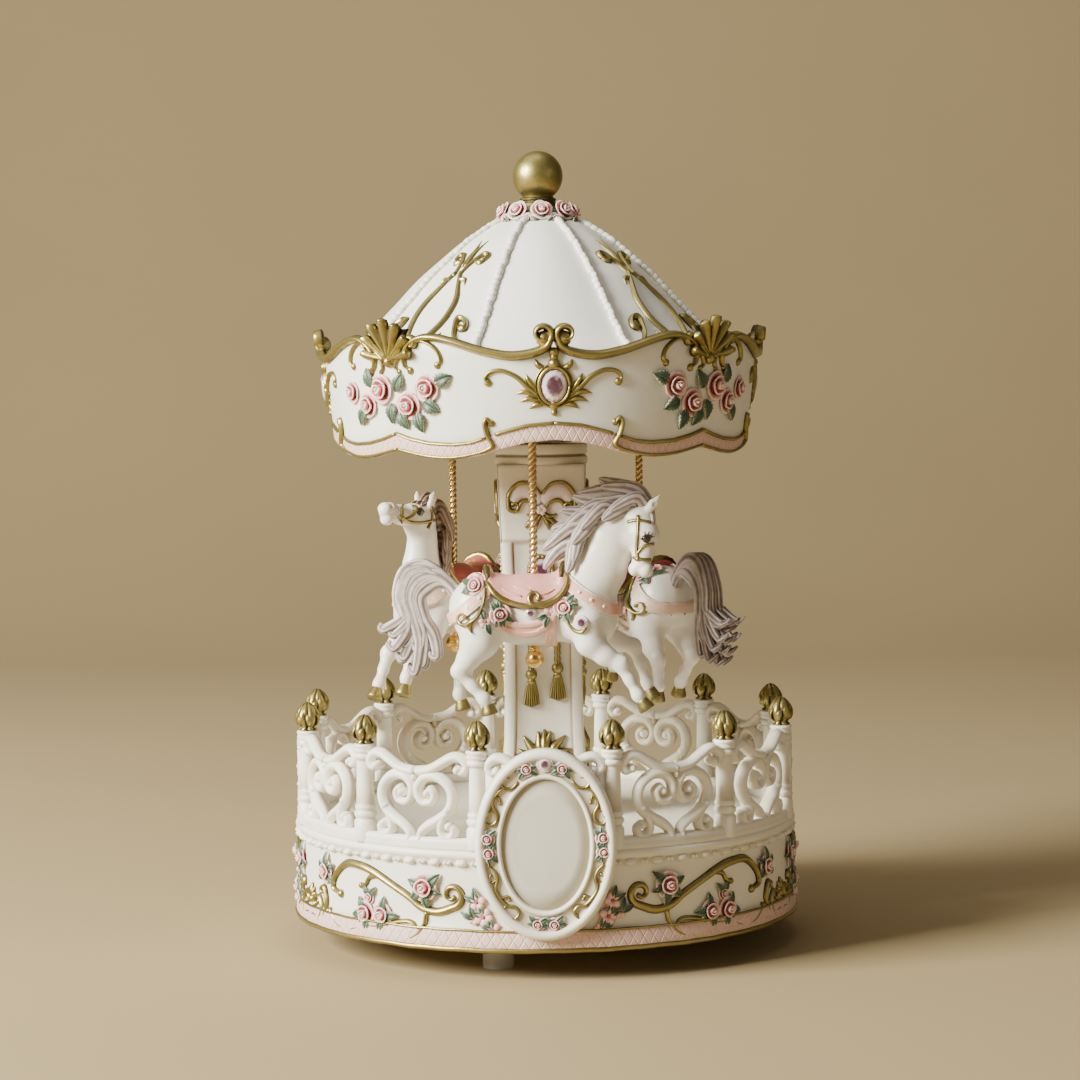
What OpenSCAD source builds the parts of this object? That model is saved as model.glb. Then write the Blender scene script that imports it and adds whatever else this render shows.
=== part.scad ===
// Wind-up carousel music box: a cast base with a fence and a photo frame, a fixed column, and a
// canopy with three horses that a spring movement in the base turns. Millimetres, +Z up, front -Y.

/* [Base] */
// Radius over the scalloped foot band
base_r = 81.3; // [79:0.1:83]
// Height of the bottom edge of the drum above the table
drum_z = 8.5; // [7:0.5:10]
// Height of the deck's top above the table
deck_z = 39; // [39:0.5:40]
// Radius of one foot
foot_r = 4.75; // [4:0.25:6]
// Radius of the circle that the three feet stand on
feet_circle_r = 57; // [52:0.5:60]

/* [Fence] */
// Radius of the circle that the posts stand on
fence_r = 77; // [76.5:0.1:77.2]
// Height of the posts' tops above the table
post_top_z = 68.5; // [66:0.5:70]
// Height of the gold bud on each post
bud_h = 9; // [7:0.5:10]
// Thickness of the pierced panels
panel_t = 5; // [4.4:0.1:5.2]

/* [Photo frame] */
// Half width of the oval frame
frame_a = 20.7; // [19:0.1:21]
// Half height of the oval frame
frame_b = 28.2; // [26:0.1:28.5]
// Half width of the photo opening
photo_a = 12.9; // [11:0.1:13.5]
// Half height of the photo opening
photo_b = 19.3; // [17:0.1:20]
// Height of the frame's centre above the table
frame_z = 41.3; // [41:0.1:42]

/* [Column] */
// Half width of the column at its waist
waist = 12.4; // [11.5:0.1:13]
// Half width of the column at its foot
column_foot = 16; // [15:0.1:17]
// Height of the column's top above the table
column_top_z = 151; // [150:0.5:152]

/* [Canopy] */
// Radius of the fascia at its top edge
fascia_top_r = 69; // [68:0.1:70]
// Radius of the fascia at its bottom edge
fascia_bottom_r = 65.4; // [64.5:0.1:66]
// Thickness of the canopy casting
canopy_t = 3; // [2.6:0.1:3.2]
// How far the canopy is turned from the front at rest, in degrees
canopy_turn = 3.5; // [-20:0.5:20]
// Radius of the gold ball on top
ball_r = 8; // [7:0.1:8.5]

/* [Horses] */
// Radius of the circle that the poles hang on
pole_circle_r = 35.2; // [35:0.1:36]
// Radius of a pole
pole_r = 1.3; // [1.1:0.1:1.5]
// How far the horses are turned from the front at rest, in degrees
horse_turn = -4.4; // [-20:0.2:20]

/* [Movement] */
// Teeth on the crown wheel of the spring barrel
crown_teeth = 60; // [60:60]
// Teeth on the pinion of the melody cylinder
pinion_teeth = 20; // [20:20]
// Teeth on the wheel that drives the air brake
wheel_teeth = 40; // [40:40]
// Radius of the steel shaft that turns the canopy
shaft_r = 2; // [1.8:0.1:2.2]

/* [Hidden] */
$fn = 64;

// Base
drum_wall_r = 78.5;
cavity_r = 74;
deck_t = 3;
cavity_top_z = deck_z - deck_t;
plate_z = 15;
plate_t = 2;
plate_top_z = plate_z + plate_t;
boss_circle_r = 62;
plinth_top_z = deck_z + 3.5;
bay_count = 12;
bay_angle = 360 / bay_count;
foot_turn = 165;
screw_r = 1.4;

// Column and its bearing
shaft_bore_r = 4;
collar_top_z = 157.4;
hub_z = 157.8;

// Canopy
ceiling_z = 160;
ceiling_t = 2.5;
roof_top_z = 226.5;
roof_top_r = 14.4;
crown_r = 12.4;
crown_z = 230.2;
ball_z = 242.4;

// Poles and horses
pole_bottom_z = 90;
pole_ball_r = 2.9;
pole_ball_z = 91.7;

// Movement
bed_z = 17;
bed_t = 2;
bed_top_z = bed_z + bed_t;
arbor_r = 2;
running_gap = 0.06;
barrel_z = bed_top_z + 0.4;
barrel_r = 11.5;
barrel_top_z = 29;
crown_pitch_r = crown_teeth * 1.5 / (2 * PI);
crown_flange_t = 1.2;
cylinder_z = 26;
cylinder_r = 6;
cylinder_x = 18.6;
cylinder_len = 19;
wheel_pitch_r = wheel_teeth / (2 * PI);
wheel_x = 38.8;
worm_pitch_r = 1.7;
worm_y = wheel_pitch_r + worm_pitch_r;
note_count = 18;
fan_z = 33.2;

// ---- shared shapes ----

module tube(outer, inner, h) {
    difference() {
        cylinder(r = outer, h = h);
        translate([0, 0, -1]) cylinder(r = inner, h = h + 2);
    }
}

// Copies its child round the vertical axis; the first one faces the front
module around(count, turn = 0) {
    for (i = [0 : count - 1]) rotate(turn + i * 360 / count) children();
}

// Stands a flat shape up so that it faces the front, with its back at radius r
module facing_front(r, z, t) {
    translate([0, -r, z]) rotate([90, 0, 0]) linear_extrude(t) children();
}

function oval(a, b, n = 72) = [for (i = [0 : n - 1]) [a * cos(i * 360 / n), b * sin(i * 360 / n)]];

// Point t of the way along a quadratic curve
function bend(p, q, s, t) = (1 - t) * (1 - t) * p + 2 * t * (1 - t) * q + t * t * s;

module screw(head_r, head_h, shank_len) {
    cylinder(r = head_r, h = head_h);
    translate([0, 0, head_h - 0.01]) cylinder(r = screw_r, h = shank_len);
}

// ---- base ----

module base_drum() {
    color("ivory") difference() {
        union() {
            rotate_extrude($fn = 128) polygon([
                [0, drum_z + 6], [base_r - 6, drum_z + 6], [base_r - 6, drum_z],
                [base_r - 1, drum_z], [base_r, drum_z + 1.6], [base_r - 0.6, drum_z + 6.8],
                [drum_wall_r + 0.4, drum_z + 7.4], [drum_wall_r, deck_z - 4.6],
                [drum_wall_r + 1.4, deck_z - 3.4], [drum_wall_r + 1.4, deck_z], [0, deck_z]]);
        }
        translate([0, 0, drum_z - 1]) cylinder(r = cavity_r, h = cavity_top_z - drum_z + 1, $fn = 128);
        translate([0, 0, deck_z - deck_t - 1]) cylinder(r = 5, h = deck_t + 2);
    }
    // three bosses under the deck take the screws of the base plate
    color("ivory") around(3) translate([0, -boss_circle_r, plate_top_z]) difference() {
        cylinder(r = 4, h = cavity_top_z - plate_top_z + 0.5);
        translate([0, 0, -1]) cylinder(r = screw_r, h = 10);
    }
}

module base_plate() {
    color("tan") difference() {
        translate([0, 0, plate_z]) cylinder(r = cavity_r - 0.3, h = plate_t, $fn = 128);
        translate([0, 0, plate_z - 1]) cylinder(r = 5, h = plate_t + 2);
        around(3) translate([0, -boss_circle_r, plate_z - 1]) cylinder(r = screw_r, h = plate_t + 2);
        bedplate_screw_places() translate([0, 0, plate_z - 1]) cylinder(r = screw_r, h = plate_t + 2);
    }
}

module base_plate_screws() {
    color("silver") around(3) translate([0, -boss_circle_r, plate_z - 1.4]) screw(2.8, 1.4, 9);
}

module feet() {
    color("lightgray") around(3, foot_turn + 180) translate([0, -feet_circle_r, 0]) {
        cylinder(r = foot_r, h = plate_z);
    }
}

// ---- fence ----

// What is cut out of one bay: the heart, a slot beside each scroll, and the dip in the rail
module bay_openings() {
    for (side = [-1, 1]) {
        translate([side * 4.2, 55.4]) circle(r = 4, $fn = 32);
        polygon([[side * 12.2, 45], [side * 15.2, 45], [side * 15.2, 61.5], [side * 13.4, 62.4],
            [side * 11.9, 58], [side * 12.6, 51]]);
    }
    polygon([[-8.1, 54.6], [8.1, 54.6], [5, 50], [0, 44.8], [-5, 50]]);
    translate([0, 62.2 + 14.2]) circle(r = 14.2);
}

module fence_panels() {
    half = bay_angle / 2 - 1.2;
    for (i = [1 : bay_count - 1]) rotate(i * bay_angle) color("ivory") difference() {
        translate([0, 0, deck_z]) rotate(-90 - half) rotate_extrude(angle = 2 * half, $fn = 128)
            polygon([[fence_r - 3, 0], [fence_r + 2.4, 0], [fence_r + 2.2, 2.2],
                [fence_r + panel_t / 2, plinth_top_z - deck_z], [fence_r + panel_t / 2, 28.4],
                [fence_r - panel_t / 2, 28.4], [fence_r - panel_t / 2, plinth_top_z - deck_z]]);
        facing_front(fence_r - 8, 0, 16) bay_openings();
    }
    // the bay behind the photo frame is a plain low panel
    color("ivory") translate([0, 0, deck_z]) rotate(-90 - half)
        rotate_extrude(angle = 2 * half, $fn = 128)
        polygon([[fence_r - 3, 0], [fence_r + 2.4, 0], [fence_r + panel_t / 2, 3.5],
            [fence_r + panel_t / 2, 26], [fence_r - panel_t / 2, 26], [fence_r - panel_t / 2, 3.5]]);
}

module fence_posts() {
    h = post_top_z - deck_z;
    color("ivory") around(bay_count, bay_angle / 2) translate([0, -fence_r, deck_z])
        rotate_extrude() polygon([[0, 0], [3.4, 0], [3.6, 2], [3.4, 4], [2.7, 5], [2.9, 6], [2.6, 7],
            [2.4, h - 6], [2.6, h - 4.4], [3.3, h - 3.8], [3.3, h - 2.6], [2.9, h - 2],
            [3.5, h - 1.4], [3.4, h], [0, h]]);
}

module post_buds() {
    color("goldenrod") around(bay_count, bay_angle / 2) translate([0, -fence_r, post_top_z])
        rotate_extrude() polygon(concat([[0, 0], [2.4, 0]],
            [for (i = [0 : 8]) let (t = i / 8) [0.5 + 3.1 * pow(sin(90 * (1 - t) + 40 * t * (1 - t)), 0.8),
                1.6 + (bud_h - 1.6) * t]],
            [[0, bud_h]]));
}

// ---- photo frame ----

module photo_frame() {
    front_y = 84;
    floor_y = 81.8;
    color("ivory") difference() {
        facing_front(78, frame_z, front_y - 78) polygon(oval(frame_a, frame_b));
        facing_front(floor_y, frame_z, 4) polygon(oval(photo_a, photo_b));
        translate([0, 0, -1]) cylinder(r = fence_r + panel_t / 2 + 0.2, h = 100, $fn = 128);
        rotate_extrude($fn = 128) polygon([[0, 0], [base_r + 0.1, 0], [base_r + 0.1, drum_z + 7],
            [drum_wall_r + 0.6, drum_z + 7.6], [drum_wall_r + 0.6, deck_z - 4.6],
            [drum_wall_r + 1.5, deck_z - 3.4], [drum_wall_r + 1.5, plinth_top_z], [0, plinth_top_z]]);
    }
}

module photo_card() {
    color("linen") facing_front(81.8, frame_z, 0.6) polygon(oval(photo_a - 0.1, photo_b - 0.1));
}

module frame_gem() {
    color("orchid") translate([0, -82.7, frame_z + 23.8]) sphere(r = 1.6, $fn = 32);
}

// Where the roses sit on the drum: angle from the front, height and radius
base_rose_places = [[-23, 27.5, 3.2], [23, 27.5, 3.2], [-46, 18.5, 3.2], [46, 18.5, 3.2],
    [-51, 19, 3], [51, 19, 3], [-64, 30, 3], [64, 30, 3], [-82, 27, 3], [82, 27, 3],
    [-100, 27, 3], [100, 27, 3], [-120, 20, 3], [120, 20, 3], [-138, 29, 3], [138, 29, 3],
    [-160, 20, 3.2], [160, 20, 3.2], [180, 30, 3.2]];

module base_roses() {
    color("lightpink") for (p = base_rose_places) rotate(p[0])
        translate([0, -drum_wall_r + 1, p[1]]) sphere(r = p[2], $fn = 24);
}

// ---- column ----

// Half width of the column at each height, as [height, half width]
function column_side() = concat(
    [[deck_z, column_foot], [deck_z + 3, column_foot], [deck_z + 4.5, column_foot - 0.9]],
    [for (i = [0 : 6]) bend([46, 14.9], [70, waist], [100, waist], i / 6)],
    [for (i = [1 : 6]) bend([100, waist], [128, waist], [column_top_z - 3, 14], i / 6)],
    [[column_top_z, 14]]);

module column_slab() {
    side = column_side();
    rotate([90, 0, 0]) linear_extrude(60, center = true) polygon(concat(
        [for (p = side) [p[1], p[0]]],
        [for (i = [len(side) - 1 : -1 : 0]) [-side[i][1], side[i][0]]]));
}

module column() {
    color("ivory") difference() {
        intersection() {
            column_slab();
            rotate(90) column_slab();
            rotate_extrude() polygon(concat([[0, deck_z]],
                [for (p = column_side()) [p[1] * 1.2, p[0]]], [[0, column_top_z]]));
        }
        translate([0, 0, deck_z - 1]) cylinder(r = shaft_bore_r + 1, h = column_top_z);
    }
}

module column_collar() {
    color("whitesmoke") difference() {
        union() {
            translate([0, 0, column_top_z]) cylinder(r = 14.8, h = collar_top_z - column_top_z);
            translate([0, 0, column_top_z - 8]) cylinder(r = 4.9, h = 9);
        }
        translate([0, 0, column_top_z - 9]) cylinder(r = shaft_r + running_gap, h = 20);
        translate([0, 0, column_top_z + 2]) tube(13, 6, 10);
    }
}

// ---- canopy ----

// Middle line of the roof from its top edge down to the fascia
function roof_line(inset) = [for (i = [0 : 8]) let (t = i / 8)
    bend([roof_top_r - inset * 0.3, roof_top_z - inset], [43 - inset, 209.5 - inset], [62 - inset, 183], t)];

module fascia_ring() {
    difference() {
        rotate_extrude($fn = 128) polygon([[fascia_bottom_r + 0.6, 155], [fascia_bottom_r, 159],
            [fascia_top_r - 0.6, 186], [fascia_top_r, 191.4], [fascia_top_r - canopy_t, 191.4],
            [fascia_top_r - canopy_t - 0.6, 186], [fascia_bottom_r - canopy_t, 159],
            [fascia_bottom_r - canopy_t + 0.6, 155]]);
        // the top edge dips at each of the four jewels, and the bottom edge arches under them
        around(4) {
            facing_front(0, 184.8 + 190, 90) circle(r = 190, $fn = 128);
            facing_front(0, 159.3 - 114, 90) circle(r = 114, $fn = 128);
        }
    }
}

module canopy_shell() {
    color("ivory") rotate(canopy_turn) {
        fascia_ring();
        rotate_extrude($fn = 128) polygon(concat(roof_line(0),
            [[62, 182], [fascia_top_r - canopy_t, 180], [fascia_top_r - canopy_t, 176.5], [60, 178]],
            [for (i = [8 : -1 : 0]) roof_line(canopy_t)[i]],
            [[6.2, roof_top_z - canopy_t], [6.2, roof_top_z]]));
    }
}

module canopy_ceiling() {
    color("ivory") difference() {
        translate([0, 0, ceiling_z]) cylinder(r = fascia_bottom_r - canopy_t - 0.1, h = ceiling_t, $fn = 128);
        translate([0, 0, ceiling_z - 1]) cylinder(r = 6, h = ceiling_t + 2);
        around(3, horse_turn) translate([0, -pole_circle_r, ceiling_z - 1])
            cylinder(r = pole_r, h = ceiling_t + 2);
    }
}

module canopy_hub() {
    color("whitesmoke") difference() {
        union() {
            translate([0, 0, hub_z]) cylinder(r = 10, h = ceiling_z - hub_z);
            translate([0, 0, hub_z]) cylinder(r = 6, h = 9);
        }
        translate([0, 0, hub_z - 1]) cylinder(r = shaft_r, h = 12);
    }
}

module hub_nut() {
    color("silver") translate([0, 0, hub_z + 9]) difference() {
        cylinder(r = 3.9, h = 2.6, $fn = 6);
        translate([0, 0, -1]) cylinder(r = shaft_r, h = 5);
    }
}

module drive_shaft() {
    color("silver") translate([0, 0, barrel_top_z + 1.3]) cylinder(r = shaft_r, h = 236 - barrel_top_z - 1.3);
}

module finial_ball() {
    color("goldenrod") difference() {
        union() {
            translate([0, 0, ball_z]) sphere(r = ball_r);
            translate([0, 0, 226.5]) rotate_extrude() polygon([[0, 0], [6.1, 0], [6.1, 7.2], [5.4, 8],
                [6, 8.6], [5.2, 9.4], [4.2, 10.4], [0, 10.4]]);
        }
        translate([0, 0, 225]) cylinder(r = shaft_r, h = 11);
    }
}

module rose_crown() {
    color("lightpink") translate([0, 0, crown_z]) rotate_extrude() polygon(
        [for (i = [0 : 11]) [crown_r - 1.2 + 3.4 * cos(i * 30), 3.7 * sin(i * 30)]]);
}

// One spray of roses on the fascia: angle from its shell, height and radius
spray_places = [[-12, 173.5, 2.6], [-7, 169.5, 2.8], [-1.5, 173, 3.4], [4, 168.8, 3.3], [9.5, 173.2, 3.2]];

module fascia_roses() {
    color("lightpink") rotate(canopy_turn + 45) around(4) for (p = spray_places) rotate(p[0])
        translate([0, -fascia_bottom_r - 1.2, p[1]]) sphere(r = p[2], $fn = 24);
}

module canopy_gems() {
    color("orchid") rotate(canopy_turn) around(4)
        facing_front(fascia_bottom_r + 1.4, 175.2, 1.4) polygon(oval(2.7, 3.3, 32));
}

// ---- poles and horses ----

module pole(index) {
    color("gold") rotate(horse_turn + index * 120) translate([0, -pole_circle_r, pole_bottom_z])
        cylinder(r = pole_r, h = ceiling_z + ceiling_t + 1.5 - pole_bottom_z);
}

module pole_balls() {
    color("gold") around(3, horse_turn) translate([0, -pole_circle_r, pole_ball_z]) difference() {
        sphere(r = pole_ball_r, $fn = 48);
        translate([0, 0, pole_bottom_z - pole_ball_z]) cylinder(r = pole_r, h = 10);
    }
}

// A horse is a list of runs, and each run a list of balls [x forward, y left, z, radius]
trunk = [[-17, 0, 105.5, 9.6], [0, 0, 104.6, 9.6], [15, 0, 104, 10.4]];
legs_front = [
    [[-16, -4, 102, 7], [-21, -5, 94, 4], [-23.5, -5, 89.6, 2.8],
     [-15.5, -5, 79, 2.1], [-12.6, -5, 76.6, 2.6]],
    [[-17, 4, 102, 6.6], [-22, 5, 94, 3.8], [-24.6, 5, 89.4, 2.6], [-24.8, 5, 79, 2], [-24, 5, 76.6, 2.5]],
    [[16, -5, 99, 5.6], [24, -5.6, 91.6, 3], [30.6, -5.6, 82, 2], [33.6, -5.6, 78.6, 2.5]],
    [[16, 5, 99, 5.6], [29, 5, 95.6, 2.7], [33, 5, 84, 1.9], [34.6, 5, 80.6, 2.4]]];
legs_rearing = [
    [[-16, -4, 102, 7], [-20, -5, 93, 4], [-25, -5, 88.6, 2.8], [-20.5, -5, 79, 2.1], [-18, -5, 76.2, 2.6]],
    [[-17, 4, 102, 6.6], [-19, 5, 94, 3.8], [-22.6, 5, 88, 2.6], [-12.5, 5, 79, 2], [-10, 5, 76.6, 2.5]],
    [[16, -5, 99, 5.6], [22, -5.6, 90, 3], [21.4, -5.6, 79, 2], [21.4, -5.6, 73.6, 2.5]],
    [[16, 5, 99, 5.6], [28, 5, 95, 2.7], [23.4, 5, 84, 1.9], [20.6, 5, 83.4, 2.4]]];
head_bowed = [[[15, 0, 108, 9.4], [19.5, -0.6, 117, 7.4], [24, -2, 126, 6.2], [29.6, -4, 133.4, 5]],
    [[30.4, -4.4, 133, 5], [34.4, -8, 126.6, 4.1], [35.6, -10.2, 120.6, 3]]];
head_high = [[[15, 0, 108, 9.4], [20.4, 0, 117, 7], [24, -1.4, 127, 5.8], [27, -3, 135.4, 4.8]],
    [[27, -3, 135.4, 4.8], [33.6, -7, 135.6, 3.9], [38.4, -9.6, 134.6, 2.8]]];
tail = [[[-24, 0, 111, 3.4], [-31, 0, 115.6, 4.4], [-38, 0, 110.6, 5], [-39, 0, 102.6, 5],
    [-35.4, 0, 95.6, 4.2], [-33.4, 0, 90.6, 3]]];
mane_bowed = [[[9, 1, 120, 3.6], [15, 1, 129, 4.2], [22, -1, 135.6, 4.2], [29, -3, 139.4, 3]]];
mane_high = [[[10, 1.4, 119, 3.6], [15.6, 1.4, 129, 4], [19.6, 0.6, 137.4, 4], [23, -1, 142.4, 3]]];

module run(balls) {
    for (i = [0 : len(balls) - 2]) hull() for (b = [balls[i], balls[i + 1]])
        translate([b[0], b[1], b[2]]) sphere(r = b[3], $fn = 14);
}

module horse(index, runs) {
    color("white") rotate(horse_turn + index * 120) translate([0, -pole_circle_r, 0])
        for (r = runs) run(r);
}

module horse_front() {
    horse(0, concat([trunk], legs_front, head_bowed, mane_bowed, tail));
}

module horse_right() {
    horse(1, concat([trunk], legs_front, head_high, mane_high, tail));
}

module horse_left() {
    horse(2, concat([trunk], legs_rearing, head_high, mane_high, tail));
}

// ---- movement ----

module bedplate_screw_places() {
    for (p = [[-13, 12], [-13, -18], [42, 13]]) translate(p) children();
}

module bedplate() {
    color("silver") difference() {
        union() {
            translate([-17, -27, bed_z]) cube([64, 44, bed_t]);
            translate([16, -27, bed_top_z - 0.5]) cube([24, 9, 6.9]);
        }
        translate([0, 0, bed_z - 1]) cylinder(r = arbor_r + running_gap, h = bed_t + 2);
        bedplate_screw_places() translate([0, 0, bed_z - 1]) cylinder(r = screw_r, h = bed_t + 2);
        comb_screw_places() translate([0, 0, bed_top_z]) cylinder(r = screw_r, h = 10);
        translate([wheel_x, worm_y, bed_z + 0.6]) cylinder(r = 0.7, h = bed_t);
    }
}

module bedplate_screws() {
    color("silver") bedplate_screw_places() translate([0, 0, plate_z - 1.2]) screw(2.5, 1.2, 3.8);
}

module comb_screw_places() {
    for (x = [20.5, 35.5]) translate([x, -22.5]) children();
}

module comb() {
    pitch = 1;
    tip_y = cylinder_r + 0.75;
    color("gainsboro") difference() {
        union() {
            translate([17.6, -26, 25.4]) cube([21, 9, 1.2]);
            for (i = [0 : note_count - 1]) translate([cylinder_x + 0.6 + i * pitch, -18, 25.7])
                cube([0.7, 18 - tip_y, 0.6]);
        }
        comb_screw_places() translate([0, 0, 20]) cylinder(r = screw_r, h = 10);
    }
}

module comb_screws() {
    color("silver") comb_screw_places() translate([0, 0, 26.6 + 1.3]) mirror([0, 0, 1]) screw(2.5, 1.3, 6);
}

module cylinder_bearings() {
    color("silver") for (x = [16.9, 41]) difference() {
        translate([x, -2.6, bed_top_z]) cube([1.2, 5.2, 9.6]);
        translate([x - 1, 0, cylinder_z]) rotate([0, 90, 0]) cylinder(r = 0.9 + running_gap, h = 4);
    }
}

module governor_bracket() {
    color("silver") difference() {
        union() {
            translate([wheel_x - 2, 11.8, bed_top_z]) cube([4, 1.6, 12.8]);
            translate([wheel_x - 2, worm_y - 1.4, bed_top_z + 11.6]) cube([4, 6, 1.2]);
        }
        translate([wheel_x, worm_y, bed_top_z + 11]) cylinder(r = 0.6 + running_gap, h = 3);
    }
}

// A wrap spring that lets the arbor wind one way only
module clutch_spring() {
    color("gray") translate([0, 0, plate_top_z - 5]) rotate_extrude() polygon(concat([[2.1, 0]],
        [for (i = [0 : 20]) [2.75 + 0.25 * cos(i * 90 + 180), i * 0.25]], [[2.1, 5]]));
}

// Crown wheel teeth stand up from the flange; a gap faces the cylinder's pinion
module spring_barrel() {
    flange_top = barrel_z + crown_flange_t;
    color("peru") {
        difference() {
            union() {
                translate([0, 0, barrel_z]) cylinder(r = 16, h = crown_flange_t);
                translate([0, 0, barrel_z]) cylinder(r = barrel_r, h = barrel_top_z - barrel_z);
            }
            translate([0, 0, flange_top]) cylinder(r = barrel_r - 1, h = 20);
            translate([0, 0, barrel_z - 1]) cylinder(r = arbor_r + running_gap, h = 5);
        }
        for (i = [0 : crown_teeth - 1]) rotate((i + 0.5) * 360 / crown_teeth)
            translate([13.1, 0, flange_top - 0.1]) rotate([90, 0, 90]) linear_extrude(2.6)
            polygon([[-0.36, 0], [0.36, 0], [0.16, 1.25], [-0.16, 1.25]]);
    }
}

module barrel_cover() {
    color("peru") translate([0, 0, barrel_top_z]) difference() {
        union() {
            cylinder(r = barrel_r, h = 1.2);
            cylinder(r = 3.6, h = 5.6);
        }
        translate([0, 0, 1.3]) cylinder(r = shaft_r, h = 6);
    }
}

module mainspring() {
    turns = 5;
    n = 90;
    function coil_r(i) = 3 + 7 * i / n;
    function coil(i, d) =
        let(a = i * turns * 360 / n) [(coil_r(i) + d) * cos(a), (coil_r(i) + d) * sin(a)];
    color("slategray") translate([0, 0, barrel_z + crown_flange_t + 0.3]) linear_extrude(7) polygon(concat(
        [for (i = [0 : n]) coil(i, 0.25)], [for (i = [n : -1 : 0]) coil(i, -0.25)]));
}

module winding_arbor() {
    color("silver") translate([0, 0, 9]) cylinder(r = arbor_r, h = barrel_top_z - 1.5 - 9);
}

module winding_key() {
    color("silver") {
        difference() {
            translate([0, 0, 3]) cylinder(r = 3.4, h = 8.6);
            translate([0, 0, 9]) cylinder(r = arbor_r, h = 5);
        }
        for (side = [0, 180]) rotate(side) difference() {
            translate([0, 0.7, 0]) rotate([90, 0, 0]) linear_extrude(1.4) union() {
                translate([9, 5.6]) circle(r = 4.2, $fn = 48);
                translate([2, 3.4]) square([7, 4.4]);
            }
            translate([9, 2, 5.6]) rotate([90, 0, 0]) cylinder(r = 1.9, h = 4);
        }
    }
}

module melody_cylinder() {
    track_pins = 4;
    color("gold") translate([cylinder_x, 0, cylinder_z]) rotate([0, 90, 0]) {
        tube(cylinder_r, 0.9, cylinder_len);
        for (i = [0 : note_count - 1], k = [0 : track_pins - 1])
            translate([0, 0, 0.95 + i]) rotate([90, 0, i * 67 + k * 360 / track_pins + 17 * (i % 3)])
                translate([0, 0, cylinder_r - 0.5]) cylinder(r = 0.2, h = 1.05, $fn = 16);
    }
}

module cylinder_arbor() {
    color("silver") translate([12.4, 0, cylinder_z]) rotate([0, 90, 0]) cylinder(r = 0.9, h = 30.6);
}

// A flat gear of n teeth: tooth 0 points along +x
module gear_2d(n, root_r, tip_r, root_half, tip_half) {
    union() {
        circle(r = root_r);
        for (i = [0 : n - 1]) rotate(i * 360 / n)
            polygon([[root_r - 0.4, -root_half], [tip_r, -tip_half],
                     [tip_r, tip_half], [root_r - 0.4, root_half]]);
    }
}

module cylinder_pinion() {
    color("peru") translate([13.2, 0, cylinder_z]) rotate([0, 90, 0]) difference() {
        linear_extrude(2.4) gear_2d(pinion_teeth, 4.05, 5.2, 0.36, 0.16);
        translate([0, 0, -1]) cylinder(r = 0.9, h = 5);
    }
}

module cylinder_wheel() {
    color("peru") translate([wheel_x - 0.6, 0, cylinder_z]) rotate([0, 90, 0]) difference() {
        linear_extrude(1.2) gear_2d(wheel_teeth, 5.85, 6.75, 0.26, 0.12);
        translate([0, 0, -1]) cylinder(r = 0.9, h = 5);
    }
}

// One thread of 1 mm lead; on the wheel's side it lies half way between two teeth
module governor_worm() {
    threads = 3;
    z0 = cylinder_z - threads / 2;
    color("silver") translate([wheel_x, worm_y, 0]) {
        translate([0, 0, z0]) rotate(-90)
            linear_extrude(threads, twist = -360 * threads, slices = 12 * threads) union() {
                circle(r = 1.3, $fn = 16);
                polygon([[1, -0.5], [2.05, -0.28], [2.05, 0.28], [1, 0.5]]);
            }
        translate([0, 0, bed_z + 0.8]) cylinder(r = 0.6, h = z0 - bed_z - 0.7, $fn = 24);
        translate([0, 0, z0 + threads - 0.1])
            cylinder(r = 0.6, h = fan_z + 1.8 - z0 - threads + 0.1, $fn = 24);
    }
}

module governor_fan() {
    color("dimgray") translate([wheel_x, worm_y, fan_z]) difference() {
        union() {
            cylinder(r = 1.4, h = 2);
            translate([-5, -0.3, 0]) cube([10, 0.6, 2]);
        }
        translate([0, 0, -1]) cylinder(r = 0.6, h = 2.8);
    }
}

// ---- one line for each node ----

base_drum();
base_plate();
base_plate_screws();
feet();
fence_panels();
fence_posts();
post_buds();
column();
column_collar();
photo_frame();
photo_card();
frame_gem();
base_roses();
bedplate();
bedplate_screws();
comb();
comb_screws();
cylinder_bearings();
governor_bracket();
clutch_spring();
canopy_shell();
canopy_ceiling();
canopy_hub();
hub_nut();
drive_shaft();
finial_ball();
rose_crown();
fascia_roses();
canopy_gems();
pole(0);  // pole_front
pole(1);  // pole_right
pole(2);  // pole_left
pole_balls();
horse_front();
horse_right();
horse_left();
spring_barrel();
barrel_cover();
mainspring();
winding_key();
winding_arbor();
melody_cylinder();
cylinder_arbor();
cylinder_pinion();
cylinder_wheel();
governor_worm();
governor_fan();
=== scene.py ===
"""A wind-up carousel music box of cast resin: a fenced drum with an oval photo frame, a square
column, and a canopy with three horses that turns with the spring movement in the drum."""

import math

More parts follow.
